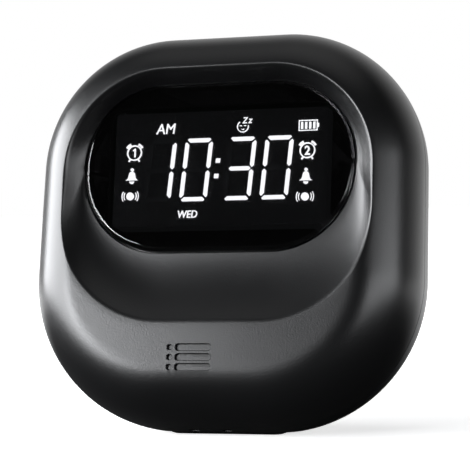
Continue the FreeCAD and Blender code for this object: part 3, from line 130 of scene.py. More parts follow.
# Places round the case, and how finely its outlines are drawn

CASE = Matrix((
    (1, 0, 0, 0),
    (0, math.sin(LEAN), -math.cos(LEAN), -FOOT_MIDDLE),
    (0, math.cos(LEAN), math.sin(LEAN), GROUND_DROP),
    (0, 0, 0, 1),
))
FLAT_MARGIN = 0.3 * MM
END_FLAT = 0.02 * MM
ARC_POINTS = 44
LINE_POINTS = 20
SMALL_OUTLINE = 14, 2
ROD_SIDES = 48
RING_POINTS = 48
BAND_DEGREES = 7
BAND_LEAST = 6
TEXT_THICKNESS = 0.1
TEXT_CURVE_STEPS = 4
MERGE_DISTANCE = 0.002 * MM
SMOOTH_DEGREES = 40
BEVEL_DEGREES = 50
BEVEL_SEGMENTS = 3
TURNS = np.linspace(0, 2 * math.pi, 1440, endpoint=False)
DIRECTIONS = np.stack((np.cos(TURNS), np.sin(TURNS)), axis=1)


def rounded_box(half_width, half_height, corner, u=0.0, v=0.0, grow=0.0):
    """Four discs of a rounded rectangle: centre and radius, anticlockwise from the upper right."""
    corner = min(corner, half_height - END_FLAT)
    side = half_width - corner
    rise = half_height - corner
    signs = ((1, 1), (-1, 1), (-1, -1), (1, -1))
    return [(u + su * side, v + sv * rise, corner + grow) for su, sv in signs]


def case_discs(inset=0.0):
    side = HALF_WIDTH - TOP_NARROWING - CORNER_TOP
    top = HALF_HEIGHT - CORNER_TOP
    low_side = HALF_WIDTH - CORNER_BOTTOM
    low = CORNER_BOTTOM - HALF_HEIGHT
    return [
        (side, top, CORNER_TOP - inset), (-side, top, CORNER_TOP - inset),
        (-low_side, low, CORNER_BOTTOM - inset), (low_side, low, CORNER_BOTTOM - inset)]


def lens_discs(grow=0.0):
    return rounded_box(LENS_HALF_WIDTH, LENS_HALF_HEIGHT, LENS_CORNER, v=LENS_RISE, grow=grow)


def rim_discs():
    side = RIM_HALF_WIDTH - RIM_CORNER_TOP
    rise = RIM_RISE + RIM_HALF_HEIGHT - RIM_CORNER_TOP
    low_side = RIM_HALF_WIDTH - RIM_CORNER_BOTTOM
    low = RIM_RISE - RIM_HALF_HEIGHT + RIM_CORNER_BOTTOM
    return [
        (RIM_MIDDLE + side, rise, RIM_CORNER_TOP), (RIM_MIDDLE - side, rise, RIM_CORNER_TOP),
        (RIM_MIDDLE - low_side, low, RIM_CORNER_BOTTOM), (RIM_MIDDLE + low_side, low, RIM_CORNER_BOTTOM)]


def outline(discs, arcs=ARC_POINTS, lines=LINE_POINTS):
    """Points along the tight outline round four discs: an arc at each and a line to the next."""
    centres = [Vector(disc[:2]) for disc in discs]
    radii = [float(disc[2]) for disc in discs]
    count = len(discs)
    turns = []
    for here in range(count):
        there = (here + 1) % count
        run = centres[there] - centres[here]
        spread = math.acos(max(-1, min(1, (radii[here] - radii[there]) / run.length)))
        turns.append(math.atan2(run.y, run.x) - spread)
    points = []
    for here in range(count):
        start = turns[here - 1]
        stop = turns[here]
        while stop < start:
            stop += 2 * math.pi
        for step in range(arcs):
            angle = start + (stop - start) * step / (arcs - 1)
            points.append(centres[here] + radii[here] * Vector((math.cos(angle), math.sin(angle))))
        there = (here + 1) % count
        outward = Vector((math.cos(turns[here]), math.sin(turns[here])))
        leave = centres[here] + radii[here] * outward
        arrive = centres[there] + radii[there] * outward
        for step in range(1, lines):
            points.append(leave.lerp(arrive, step / lines))
    return np.array([tuple(point) for point in points])


def inset_of(points, discs):
    """How far each point lies inside the outline of the discs."""
    centres = np.array([disc[:2] for disc in discs])
    radii = np.array([disc[2] for disc in discs])
    reach = (DIRECTIONS @ centres.T + radii).max(axis=1)
    return (reach - points @ DIRECTIONS.T).min(axis=1)


def dome_height(inset, depth, reach):
    """The shoulder rises along a quarter of an ellipse and stays level past its reach."""
    share = np.clip(1 - inset / reach, 0, 1)
    return depth * np.sqrt(1 - share ** 2)


def at_height(points, height):
    """Outline points with a height each, or one for all."""
    return np.column_stack((points, np.broadcast_to(height, len(points))))


# Modelling helpers

def deselect():
    bpy.ops.object.select_all(action="DESELECT")


def active():
    return bpy.context.view_layer.objects.active


def set_ring(places):
    """Moves the selected vertices to their places in a ring, by the number that each one keeps."""
    mesh = bmesh.from_edit_mesh(active().data)
    number = mesh.verts.layers.int["number"]
    for vertex in mesh.verts:
        if vertex.select:
            vertex.co = places[vertex[number]]
    bmesh.update_edit_mesh(active().data)


def skin(name, rings, caps=True):
    """A skin through rings: a circle primitive set on the first, extruded to each next one."""
    deselect()
    bpy.ops.mesh.primitive_circle_add(vertices=len(rings[0]), radius=1)
    piece = active()
    piece.name = name
    numbers = piece.data.attributes.new("number", "INT", "POINT")
    numbers.data.foreach_set("value", range(len(rings[0])))
    bpy.ops.object.mode_set(mode="EDIT")
    bpy.ops.mesh.select_all(action="SELECT")
    set_ring(rings[0])
    if caps:
        bpy.ops.mesh.edge_face_add()
        bpy.ops.mesh.extrude_region()
    else:
        bpy.ops.mesh.extrude_edges_indiv()
    set_ring(rings[1])
    for places in rings[2:]:
        if caps:
            bpy.ops.mesh.extrude_region()
        else:
            bpy.ops.mesh.extrude_edges_indiv()
        set_ring(places)
    bpy.ops.mesh.select_all(action="SELECT")
    bpy.ops.mesh.remove_doubles(threshold=MERGE_DISTANCE)
    bpy.ops.mesh.normals_make_consistent(inside=False)
    bpy.ops.object.mode_set(mode="OBJECT")
    piece.data.attributes.remove(piece.data.attributes["number"])
    return piece


def modify(piece, kind, **settings):
    """Adds a modifier with its settings and applies it."""
    deselect()
    piece.select_set(True)
    bpy.context.view_layer.objects.active = piece
    modifier = piece.modifiers.new(kind.lower(), kind)
    for key, value in settings.items():
        setattr(modifier, key, value)
    bpy.ops.object.modifier_apply(modifier=modifier.name)


def cut(piece, *tools, operation="DIFFERENCE"):
    """Cuts the tools out of the piece, or joins or intersects them with it, and deletes them."""
    for tool in tools:
        modify(piece, "BOOLEAN", object=tool, operation=operation, solver="EXACT")
        bpy.data.objects.remove(tool)


def smooth(piece, degrees=SMOOTH_DEGREES):
    deselect()
    piece.select_set(True)
    bpy.context.view_layer.objects.active = piece
    bpy.ops.object.shade_smooth_by_angle(angle=math.radians(degrees))


def join(name, pieces):
    deselect()
    for piece in pieces:
        piece.select_set(True)
    bpy.context.view_layer.objects.active = pieces[0]
    bpy.ops.object.join()
    pieces[0].name = name
    return pieces[0]


def settle(piece, material, body, slot, *nodes, stand=True):
    """Stands the piece up with the case, gives it its material and body, and hides the nodes that it stands
    in for; the slot is not used.
    """
    if stand:
        piece.data.transform(CASE)
    piece.data.materials.clear()
    piece.data.materials.append(material)
    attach(piece, body)
    if nodes:
        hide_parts(*nodes)
    return piece


def pill(name, discs, low, high, edge=0.0, steps=8, detail=(ARC_POINTS, LINE_POINTS)):
    """A pad with the outline of four discs between two heights, its far edge rounded."""
    rings = [at_height(outline(discs, *detail), low)]
    for step in range(steps + 1):
        angle = math.pi / 2 * step / steps if edge else 0
        shrunk = [(u, v, r - abs(edge) * (1 - math.cos(angle))) for u, v, r in discs]
        rings.append(at_height(outline(shrunk, *detail), high - edge + edge * math.sin(angle)))
        if not edge:
            break
    inside = [(u, v, r - abs(edge) - FLAT_MARGIN) for u, v, r in discs]
    if edge:
        rings.append(at_height(outline(inside, *detail), high))
    return skin(name, rings)


def plate(name, points):
    """A flat plate with the given outline, raised a little from the face of the display."""
    points = np.array(points, dtype=float)
    return skin(name, [at_height(points, DISPLAY_FACE), at_height(points, DISPLAY_FACE + MARK_RELIEF)])


def arc_points(u, v, radius, start, stop, count):
    """Points on an arc, its ends given in degrees."""
    angles = np.radians(np.linspace(start, stop, count))
    return np.column_stack((u + radius * np.cos(angles), v + radius * np.sin(angles)))


def band(name, u, v, radius, width, start, stop):
    """A plate along an arc, the arc's ends given in degrees."""
    count = max(BAND_LEAST, int(abs(stop - start) / BAND_DEGREES))
    outer = arc_points(u, v, radius + width / 2, start, stop, count)
    inner = arc_points(u, v, radius - width / 2, stop, start, count)
    return plate(name, np.vstack((outer, inner)))


def disc(name, u, v, radius, count=24):
    return plate(name, arc_points(u, v, radius, 0, 360 - 360 / count, count))


def bar(name, u, v, half_length, half_width, turn=0.0):
    """A plate with four corners about u, v, turned by an angle in degrees."""
    along = Vector((math.cos(math.radians(turn)), math.sin(math.radians(turn))))
    across = Vector((-along.y, along.x))
    signs = ((-1, -1), (1, -1), (1, 1), (-1, 1))
    return plate(name, [
        tuple(Vector((u, v)) + a * half_length * along + b * half_width * across) for a, b in signs])


def ring_band(name, u, v, radius, width):
    """A closed ring: outer wall, top, inner wall and underside."""
    last = 360 - 360 / RING_POINTS
    outer = arc_points(u, v, radius + width / 2, 0, last, RING_POINTS)
    inner = arc_points(u, v, radius - width / 2, 0, last, RING_POINTS)
    high = DISPLAY_FACE + MARK_RELIEF
    corners = ((outer, DISPLAY_FACE), (outer, high), (inner, high), (inner, DISPLAY_FACE))
    rings = [at_height(points, height) for points, height in corners]
    return skin(name, rings + rings[:1], caps=False)


def lettering(name, words, u, v, width, height, slant=0.0, weight=0.0):
    """Words as a plate: made at a size of one, turned into a mesh, then fitted to its place."""
    deselect()
    bpy.ops.object.text_add()
    piece = active()
    piece.name = name
    piece.data.body = words
    piece.data.shear = slant
    piece.data.offset = weight
    piece.data.extrude = TEXT_THICKNESS
    piece.data.resolution_u = TEXT_CURVE_STEPS
    bpy.ops.object.convert(target="MESH")
    piece = active()
    mesh = piece.data
    corners = np.array([tuple(vertex.co) for vertex in mesh.vertices])
    least, most = corners.min(axis=0), corners.max(axis=0)
    share = (corners - least) / (most - least)
    fitted = np.column_stack((
        u + (share[:, 0] - 0.5) * width, v + (share[:, 1] - 0.5) * height,
        DISPLAY_FACE + share[:, 2] * MARK_RELIEF))
    mesh.vertices.foreach_set("co", fitted.ravel())
    bpy.ops.object.mode_set(mode="EDIT")
    bpy.ops.mesh.select_all(action="SELECT")
    bpy.ops.mesh.remove_doubles(threshold=2 * MERGE_DISTANCE)
    bpy.ops.mesh.normals_make_consistent(inside=False)
    bpy.ops.object.mode_set(mode="OBJECT")
    return piece


def block(name, left, right, low, high, back, front):
    """A box tool between six sides."""
    deselect()
    middle = ((left + right) / 2, (low + high) / 2, (back + front) / 2)
    bpy.ops.mesh.primitive_cube_add(size=1, location=middle, scale=(right - left, high - low, front - back))
    piece = active()
    piece.name = name
    bpy.ops.object.transform_apply(location=True, rotation=True, scale=True)
    return piece


def rod(name, u, v, radius, back, front):
    """A round tool along W."""
    deselect()
    bpy.ops.mesh.primitive_cylinder_add(
        vertices=ROD_SIDES, radius=radius, depth=front - back, location=(u, v, (back + front) / 2))
    piece = active()
    piece.name = name
    bpy.ops.object.transform_apply(location=True, rotation=True, scale=True)
    return piece


def bevel_sharp(piece, width):
    modify(piece, "BEVEL", width=width, segments=BEVEL_SEGMENTS, limit_method="ANGLE",
           angle_limit=math.radians(BEVEL_DEGREES))


# Node groups and materials

def new_group(name, inputs, outputs):
    """A shader node group with named number or colour sockets."""
    group = bpy.data.node_groups.new(name, "ShaderNodeTree")
    for label, kind, value in inputs:
        socket = group.interface.new_socket(label, in_out="INPUT", socket_type=f"NodeSocket{kind}")
        socket.default_value = value
    for label, kind in outputs:
        group.interface.new_socket(label, in_out="OUTPUT", socket_type=f"NodeSocket{kind}")
    return group, group.nodes.new("NodeGroupInput"), group.nodes.new("NodeGroupOutput")


def math_node(tree, operation, first, second):
    """A Math node whose inputs are sockets or numbers."""
    node = tree.nodes.new("ShaderNodeMath")
    node.operation = operation
    for number, value in enumerate((first, second)):
        if isinstance(value, bpy.types.NodeSocket):
            tree.links.new(value, node.inputs[number])
        else:
            node.inputs[number].default_value = value
    return node.outputs[0]


GRAIN_SCALE = 2600
GRAIN_DETAIL = 3
GRAIN_BUMP = 0.1
GRAIN_DEPTH = 0.02 * MM
DRIFT = 0.15
DRIFT_SCALE = 60
DRIFT_DETAIL = 2
SPECKLE = 0.08
NOISE_MIDDLE = 0.5


def make_grain_group():
    """Moulded grain: a fine height, and slow drifts of colour and gloss."""
    group, given, result = new_group(
        "moulded_grain",
        (("Color", "Color", (0.02, 0.02, 0.02, 1)), ("Drift", "Float", DRIFT),
         ("Roughness", "Float", 0.4), ("Grain Scale", "Float", GRAIN_SCALE)),
        (("Color", "Color"), ("Roughness", "Float"), ("Height", "Float")))
    place = group.nodes.new("ShaderNodeTexCoord").outputs["Object"]
    fine = group.nodes.new("ShaderNodeTexNoise")
    fine.inputs["Detail"].default_value = GRAIN_DETAIL
    group.links.new(place, fine.inputs["Vector"])
    group.links.new(given.outputs["Grain Scale"], fine.inputs["Scale"])
    slow = group.nodes.new("ShaderNodeTexNoise")
    slow.inputs["Scale"].default_value = DRIFT_SCALE
    slow.inputs["Detail"].default_value = DRIFT_DETAIL
    group.links.new(place, slow.inputs["Vector"])
    centred = math_node(group, "SUBTRACT", slow.outputs["Fac"], NOISE_MIDDLE)
    change = math_node(group, "MULTIPLY", centred, given.outputs["Drift"])
    factor = math_node(group, "ADD", change, 1.0)
    scale = group.nodes.new("ShaderNodeVectorMath")
    scale.operation = "SCALE"
    group.links.new(given.outputs["Color"], scale.inputs[0])
    group.links.new(factor, scale.inputs["Scale"])
    group.links.new(scale.outputs[0], result.inputs["Color"])
    uneven = math_node(group, "SUBTRACT", fine.outputs["Fac"], NOISE_MIDDLE)
    speckle = math_node(group, "MULTIPLY", uneven, SPECKLE)
    rough = math_node(group, "MULTIPLY", given.outputs["Roughness"], factor)
    group.links.new(math_node(group, "ADD", rough, speckle), result.inputs["Roughness"])
    group.links.new(fine.outputs["Fac"], result.inputs["Height"])
    return group


GRAIN = make_grain_group()


def new_material(name):
    material = bpy.data.materials.new(name)
    material.use_nodes = True
    return material, material.node_tree, material.node_tree.nodes["Principled BSDF"]


def grained(name, color, roughness, grain_scale=GRAIN_SCALE, bump=GRAIN_BUMP, depth=GRAIN_DEPTH, **sockets):
    """A moulded or metal finish: the grain group over one colour, with plain shader settings."""
    material, tree, shader = new_material(name)
    grain = tree.nodes.new("ShaderNodeGroup")
    grain.node_tree = GRAIN
    grain.inputs["Color"].default_value = (*color, 1)
    grain.inputs["Roughness"].default_value = roughness
    grain.inputs["Grain Scale"].default_value = grain_scale
    tree.links.new(grain.outputs["Color"], shader.inputs["Base Color"])
    tree.links.new(grain.outputs["Roughness"], shader.inputs["Roughness"])
    relief = tree.nodes.new("ShaderNodeBump")
    relief.inputs["Strength"].default_value = bump
    relief.inputs["Distance"].default_value = depth
    tree.links.new(grain.outputs["Height"], relief.inputs["Height"])
    tree.links.new(relief.outputs["Normal"], shader.inputs["Normal"])
    for key, value in sockets.items():
        shader.inputs[key.replace("_", " ")].default_value = value
    return material


WINDOW_IOR = 1.47
WINDOW_REFLECTION = 0.3
WINDOW_TINT = (0.12, 0.12, 0.125, 1)
WINDOW_SMEAR_SCALE = 40
WINDOW_ROUGHNESS = 0.02, 0.05
GLOW_SCALE = 300
GLOW_LEAST = 0.94
GLOW_ROUGHNESS = 0.4


def smoked_window():
    """Polished smoke-black plastic that the lit display shows through."""
    material, tree, shader = new_material("smoked_window")
    shader.inputs["Transmission Weight"].default_value = 1.0
    shader.inputs["IOR"].default_value = WINDOW_IOR
    shader.inputs["Specular IOR Level"].default_value = WINDOW_REFLECTION
    shader.inputs["Base Color"].default_value = WINDOW_TINT
    noise = tree.nodes.new("ShaderNodeTexNoise")
    noise.inputs["Scale"].default_value = WINDOW_SMEAR_SCALE
    place = tree.nodes.new("ShaderNodeTexCoord")
    tree.links.new(place.outputs["Object"], noise.inputs["Vector"])
    spread = tree.nodes.new("ShaderNodeMapRange")
    spread.inputs["To Min"].default_value = WINDOW_ROUGHNESS[0]
    spread.inputs["To Max"].default_value = WINDOW_ROUGHNESS[1]
    tree.links.new(noise.outputs["Fac"], spread.inputs["Value"])
    tree.links.new(spread.outputs["Result"], shader.inputs["Roughness"])
    return material


def glowing(name, color, strength):
    """A lit surface with a slight unevenness of its light."""
    material, tree, shader = new_material(name)
    place = tree.nodes.new("ShaderNodeTexCoord")
    noise = tree.nodes.new("ShaderNodeTexNoise")
    noise.inputs["Scale"].default_value = GLOW_SCALE
    tree.links.new(place.outputs["Object"], noise.inputs["Vector"])
    blend = tree.nodes.new("ShaderNodeMix")
    blend.data_type = "RGBA"
    blend.inputs["A"].default_value = (*[GLOW_LEAST * part for part in color], 1)
    blend.inputs["B"].default_value = (*color, 1)
    tree.links.new(noise.outputs["Fac"], blend.inputs["Factor"])
    tree.links.new(blend.outputs["Result"], shader.inputs["Base Color"])
    tree.links.new(blend.outputs["Result"], shader.inputs["Emission Color"])
    shader.inputs["Emission Strength"].default_value = strength
    shader.inputs["Roughness"].default_value = GLOW_ROUGHNESS
    return material


BLACK = (0.003, 0.0031, 0.0034)
PLASTIC_IOR = 1.58
DISPLAY_BLACK = (0.02, 0.021, 0.022)
BOARD_GREEN = (0.01, 0.09, 0.035)
CASE_PLASTIC = grained("case_plastic", BLACK, 0.31, bump=0.7, depth=0.03 * MM, IOR=PLASTIC_IOR)
REAR_PLASTIC = grained("rear_plastic", BLACK, 0.35, bump=0.5, IOR=PLASTIC_IOR)
INSERT_PLASTIC = grained("insert_plastic", BLACK, 0.4)
RUBBER = grained("button_rubber", (0.016, 0.016, 0.017), 0.55, grain_scale=1800, bump=0.2)
FOOT_RUBBER = grained("foot_rubber", (0.014, 0.014, 0.014), 0.7, grain_scale=1500, bump=0.25)
WINDOW = smoked_window()
LIT = glowing("lit_white", (1, 1, 1), 9)
UNLIT = glowing("unlit_segment", DISPLAY_BLACK, 1.8)
NODE_FINISHES = {
    "display_housing": glowing("display_black", DISPLAY_BLACK, 1.1),
    "lens_tape": grained("black_tape", (0.004, 0.004, 0.004), 0.8),
    "main_board": grained("board_green", BOARD_GREEN, 0.35, grain_scale=900),
    "rear_board": grained("rear_board_green", BOARD_GREEN, 0.35, grain_scale=900),
    "board_components": grained("component_black", (0.02, 0.02, 0.02), 0.45),
    "sound_insert": INSERT_PLASTIC,
    "speaker_frame": grained("speaker_steel", (0.5, 0.5, 0.52), 0.35, Metallic=1.0),
    "speaker_cone": grained("cone_paper", (0.05, 0.05, 0.052), 0.9, grain_scale=900, bump=0.5),
    "speaker_magnet": grained("magnet_metal", (0.2, 0.2, 0.21), 0.45, Metallic=1.0),
    "speaker_gasket": grained("foam", (0.03, 0.03, 0.03), 0.95, grain_scale=700, bump=0.6),
    "battery_cell": grained("cell_sleeve", (0.02, 0.1, 0.35), 0.3),
    "battery_tabs": grained("nickel", (0.6, 0.58, 0.53), 0.3, Metallic=1.0),
    "battery_band": grained("band_foam", (0.03, 0.03, 0.03), 0.9, grain_scale=700, bump=0.5),
    "motor_can": grained("motor_steel", (0.55, 0.55, 0.57), 0.28, Metallic=1.0),
    "motor_end_cap": grained("cap_black", (0.02, 0.02, 0.02), 0.5),
    "motor_terminals": grained("brass", (0.75, 0.55, 0.25), 0.3, Metallic=1.0),
    "motor_shaft": grained("shaft_steel", (0.6, 0.6, 0.62), 0.18, Metallic=1.0),
    "eccentric_weight": grained("weight_metal", (0.36, 0.36, 0.37), 0.42, Metallic=1.0),
    "motor_clamp": grained("clamp_steel", (0.55, 0.55, 0.57), 0.3, Metallic=1.0),
    "switch_housings": grained("switch_black", (0.02, 0.02, 0.02), 0.5),
    "charge_socket": grained("socket_steel", (0.6, 0.6, 0.6), 0.25, Metallic=1.0),
    "socket_tongue": grained("tongue_black", (0.015, 0.015, 0.015), 0.4),
    "board_link": grained("link_strip", (0.6, 0.6, 0.58), 0.4),
    "link_headers": grained("header_cream", (0.7, 0.68, 0.6), 0.45),
    "speaker_leads": grained("speaker_lead", (0.35, 0.02, 0.015), 0.35),
    "motor_leads": grained("motor_lead", (0.4, 0.3, 0.02), 0.35),
    "battery_leads": grained("battery_lead", (0.35, 0.02, 0.015), 0.35),
}
SCREW_STEEL = grained("screw_steel", (0.35, 0.35, 0.36), 0.3, Metallic=1.0)
PLUNGER_CREAM = grained("plunger_cream", (0.7, 0.68, 0.6), 0.45)
for node_name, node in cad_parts.items():
    finish = NODE_FINISHES.get(node_name)
    if node_name.endswith("_screws"):
        finish = SCREW_STEEL
    if node_name.endswith("_plunger"):
        finish = PLUNGER_CREAM
    if finish:
        node.data.materials.clear()
        node.data.materials.append(finish)


# The front shell

DOME_RINGS = 20
RECESS_RINGS = 14
INNER_RINGS = 16
RIM_STEPS = 5
RIM_SEARCH = 0.5, 1.12
RIM_SEARCH_STEPS = 249


def recess_points(share):
    """Recess outline at a share of the way from the lens opening to the rim."""
    mixed = [
        tuple(near * (1 - share) + far * share for near, far in zip(inner, outer))
        for inner, outer in zip(lens_discs(LENS_GAP), rim_discs())]
    return outline(mixed)


RECESS_WIDTHS = np.linalg.norm(recess_points(1) - recess_points(0), axis=1)
RECESS_POWERS = 1 + np.minimum(RECESS_WIDTHS / RECESS_WIDE, 1)


def recess_height(share):
    """The recess leaves its floor level where it is wide, and climbs evenly where it is narrow."""
    return RECESS_FLOOR + (FRONT_DEPTH - RECESS_FLOOR) * share ** RECESS_POWERS


def rim_shares():
    """For each point round the recess, the share at which it comes out through the shoulder."""
    grid = np.linspace(*RIM_SEARCH, RIM_SEARCH_STEPS)
    places = np.array([recess_points(share) for share in grid])
    heights = np.array([
        dome_height(inset_of(ring, case_discs()), FRONT_DEPTH, FRONT_REACH) - recess_height(share)
        for ring, share in zip(places, grid)])
    shares = np.ones(heights.shape[1])
    for number in range(len(shares)):
        out = np.nonzero(heights[:, number] <= 0)[0]
        last = out[0] if len(out) else len(grid) - 1
        here, before = heights[last, number], heights[last - 1, number]
        part = before / (before - here) if before != here else 0
        shares[number] = grid[last - 1] + (grid[last] - grid[last - 1]) * part
    return shares


def recess_at(shares):
    """Points of the recess surface, each at its own share."""
    start, stop = recess_points(0), recess_points(1)
    flat = start + (stop - start) * shares[:, None]
    return at_height(flat, recess_height(shares))


def make_front_shell():
    """The shoulder, the rolled rim, the recess, the lens seat and the hollow inside, ring by ring."""
    rim = np.minimum(rim_shares(), 1.0)
    rim_ring = recess_at(rim)
    edge = outline(case_discs())
    edge_in = outline(case_discs(PARTING_CHAMFER))
    rings = [at_height(edge_in, 0), at_height(edge, PARTING_CHAMFER)]
    rim_inset = inset_of(rim_ring[:, :2], case_discs())
    last_angle = np.arccos(np.clip(1 - rim_inset / FRONT_REACH, 0, 1))
    away = np.linalg.norm(edge - rim_ring[:, :2], axis=1)
    stop_share = 1 - RIM_ROUNDING / away

    def shoulder(share):
        flat = edge + (rim_ring[:, :2] - edge) * share[:, None]
        height = dome_height(inset_of(flat, case_discs()), FRONT_DEPTH, FRONT_REACH)
        return at_height(flat, height)

    for step in range(1, DOME_RINGS + 1):
        angle = last_angle * step / DOME_RINGS
        share = (1 - np.cos(angle)) / (1 - np.cos(last_angle)) * stop_share
        ring = shoulder(share)
        if step == 1:
            ring[:, 2] = np.maximum(ring[:, 2], PARTING_CHAMFER * 2)
        rings.append(ring)
    outer = rings[-1]
    inner_share = rim - RIM_ROUNDING / RECESS_WIDTHS
    inner = recess_at(inner_share)
    for step in range(1, RIM_STEPS):
        part = step / RIM_STEPS
        rings.append((1 - part) ** 2 * outer + 2 * part * (1 - part) * rim_ring + part ** 2 * inner)
    for step in range(RECESS_RINGS):
        rings.append(recess_at(inner_share * (1 - step / RECESS_RINGS)))
    seat = outline(lens_discs(LENS_GAP))
    ledge = LENS_FRONT - LENS_THICKNESS - TAPE_THICKNESS
    lip = outline(lens_discs(LENS_GAP + SEAT_ROUNDING))
    rings.append(at_height(lip, RECESS_FLOOR))
    rings.append(at_height(seat, RECESS_FLOOR - SEAT_ROUNDING))
    rings.append(at_height(seat, ledge))
    window = outline(rounded_box(WINDOW_HALF_WIDTH, WINDOW_HALF_HEIGHT, WINDOW_CORNER, v=LENS_RISE))
    rings.append(at_height(window, ledge))
    rings.append(at_height(window, ledge - LEDGE_THICKNESS))
    collar = outline(lens_discs(LENS_GAP + COLLAR))
    rings.append(at_height(collar, ledge - LEDGE_THICKNESS))
    inner_edge = outline(case_discs(WALL))
    for step in range(1, INNER_RINGS + 1):
        share = 1 - (1 - step / INNER_RINGS) ** 2
        flat = collar + (inner_edge - collar) * share
        dome = dome_height(inset_of(flat, case_discs()) - WALL, FRONT_DEPTH - WALL, FRONT_REACH)
        rings.append(at_height(flat, np.minimum(dome, recess_height(share_at(flat)) - WALL)))
    rings[-1][:, 2] = 0
    rings.append(rings[0])
    return skin("front_shell_skin", rings, caps=False)


def share_at(points):
    """Share of the way from the lens opening to the rim, for points in the same order."""
    return np.linalg.norm(points - recess_points(0), axis=1) / RECESS_WIDTHS


def groove_tool(length, width, u, v):
    """A slot with round ends and a chamfered mouth, sunk into the flat of the front."""
    half = max(length / 2, width / 2 + END_FLAT)
    steps = (
        (0, FRONT_DEPTH - OUTLET_DEPTH), (0, FRONT_DEPTH - OUTLET_CHAMFER),
        (OUTLET_CHAMFER, FRONT_DEPTH), (OUTLET_CHAMFER, FRONT_DEPTH + WALL))
    rings = []
    for grow, height in steps:
        discs = rounded_box(half, width / 2, width / 2, u=u, v=v, grow=grow)
        rings.append(at_height(outline(discs, *SMALL_OUTLINE), height))
    return skin("groove_tool", rings)


def outlet_tools():
    """Three dots and three slots, sunk into the chin."""
    tools = []
    for row in (-1, 0, 1):
        v = -OUTLET_DROP + row * OUTLET_PITCH
        tools.append(groove_tool(OUTLET_SLOT, OUTLET_WIDTH, OUTLET_SLOT_MIDDLE, v))
        tools.append(groove_tool(OUTLET_DOT, OUTLET_DOT, OUTLET_DOT_MIDDLE, v))
    return join("outlet_tool", tools)


def strap_slot_tools():
    """Two small slots through the underside of the front shell."""
    tools = []
    for side in (-1, 1):
        u = STRAP_SLOT_MIDDLE + side * STRAP_SLOT_SIDE
        tools.append(block(
            "strap_tool", u - STRAP_SLOT_WIDTH / 2, u + STRAP_SLOT_WIDTH / 2,
            -HALF_HEIGHT - WALL, -HALF_HEIGHT + 2 * WALL,
            STRAP_SLOT_FORWARD - STRAP_SLOT_HEIGHT / 2, STRAP_SLOT_FORWARD + STRAP_SLOT_HEIGHT / 2))
    return join("strap_tools", tools)


shell = make_front_shell()
cut(shell, outlet_tools(), strap_slot_tools())
smooth(shell)
settle(shell, CASE_PLASTIC, "case", "case_plastic", "front_shell")


# The rear shell

def dome_rings(depth, reach, inset, way):
    """Rings of a dome from the parting plane to its flat, and one inside the flat."""
    rings = []
    for step in range(DOME_RINGS + 1):
        angle = math.pi / 2 * step / DOME_RINGS
        shrunk = case_discs(inset + reach * (1 - math.cos(angle)))
        rings.append(at_height(outline(shrunk), way * depth * math.sin(angle)))
    rings.append(at_height(outline(case_discs(inset + reach + FLAT_MARGIN)), way * depth))
    return rings


def case_form(name, grow=0.0):
    """The whole case as one closed form, grown a little."""
    rear = dome_rings(REAR_DEPTH + grow, REAR_REACH, -grow, -1)
    front = dome_rings(FRONT_DEPTH + grow, FRONT_REACH, -grow, 1)
    return skin(name, rear[::-1] + front[1:])


def make_rear_shell():
    outer = dome_rings(REAR_DEPTH, REAR_REACH, 0, -1)
    outer[0] = at_height(outline(case_discs(PARTING_CHAMFER)), 0)
    outer[1][:, 2] = np.minimum(outer[1][:, 2], -2 * PARTING_CHAMFER)
    outer.insert(1, at_height(outline(case_discs()), -PARTING_CHAMFER))
    inner = dome_rings(REAR_DEPTH - WALL, REAR_REACH, WALL, -1)
    return skin("rear_shell_skin", inner[::-1] + outer)


def screw_posts():
    """Posts round the screw wells, ending inside the wall."""
    posts = [rod("post", u, v, POST_RADIUS, -REAR_DEPTH, -WALL) for u, v in SCREW_PLACES]
    group = join("posts", posts)
    cut(group, case_form("post_limit", -WALL / 2), operation="INTERSECT")
    return group


def well_tools():
    tools = []
    for u, v in SCREW_PLACES:
        tools.append(rod("well_tool", u, v, WELL_RADIUS, -REAR_DEPTH - WALL, -POST_DEPTH))
        tools.append(rod("hole_tool", u, v, SCREW_HOLE, -POST_DEPTH - WALL, 0))
    return tools


def button_places():
    middle = (len(BUTTON_NAMES) - 1) / 2
    return [(step - middle) * BUTTON_PITCH for step in range(len(BUTTON_NAMES))]


def button_discs(u, grow=0.0):
    return rounded_box(BUTTON_HALF_LENGTH, BUTTON_HALF_HEIGHT, BUTTON_HALF_HEIGHT, u=u, v=BUTTON_RISE,
                       grow=grow)


def opening_tools():
    """Openings for the five buttons, the socket and the snooze bar."""
    low, high = -REAR_DEPTH - WALL, -REAR_DEPTH + 2 * WALL
    tools = [
        pill("button_tool", button_discs(u, BUTTON_GAP), low, high, detail=SMALL_OUTLINE)
        for u in button_places()]
    mouth = rounded_box(SOCKET_HALF_WIDTH, SOCKET_HALF_HEIGHT, SOCKET_HALF_HEIGHT, v=SOCKET_RISE)
    tools.append(pill("mouth_tool", mouth, low, high, detail=SMALL_OUTLINE))
    reach = SNOOZE_HALF_LENGTH + BUTTON_GAP
    tools.append(block("snooze_tool", -reach, reach, SNOOZE_LOW, HALF_HEIGHT + WALL,
                       -SNOOZE_FAR - BUTTON_GAP, -SNOOZE_NEAR + BUTTON_GAP))
    return join("opening_tools", tools)


def cut_level(piece, height):
    """Cuts the standing piece level at a height above the ground and closes it."""
    deselect()
    piece.select_set(True)
    bpy.context.view_layer.objects.active = piece
    bpy.ops.object.mode_set(mode="EDIT")
    bpy.ops.mesh.select_all(action="SELECT")
    bpy.ops.mesh.bisect(plane_co=(0, 0, height), plane_no=(0, 0, 1), use_fill=True, clear_inner=True)
    bpy.ops.object.mode_set(mode="OBJECT")


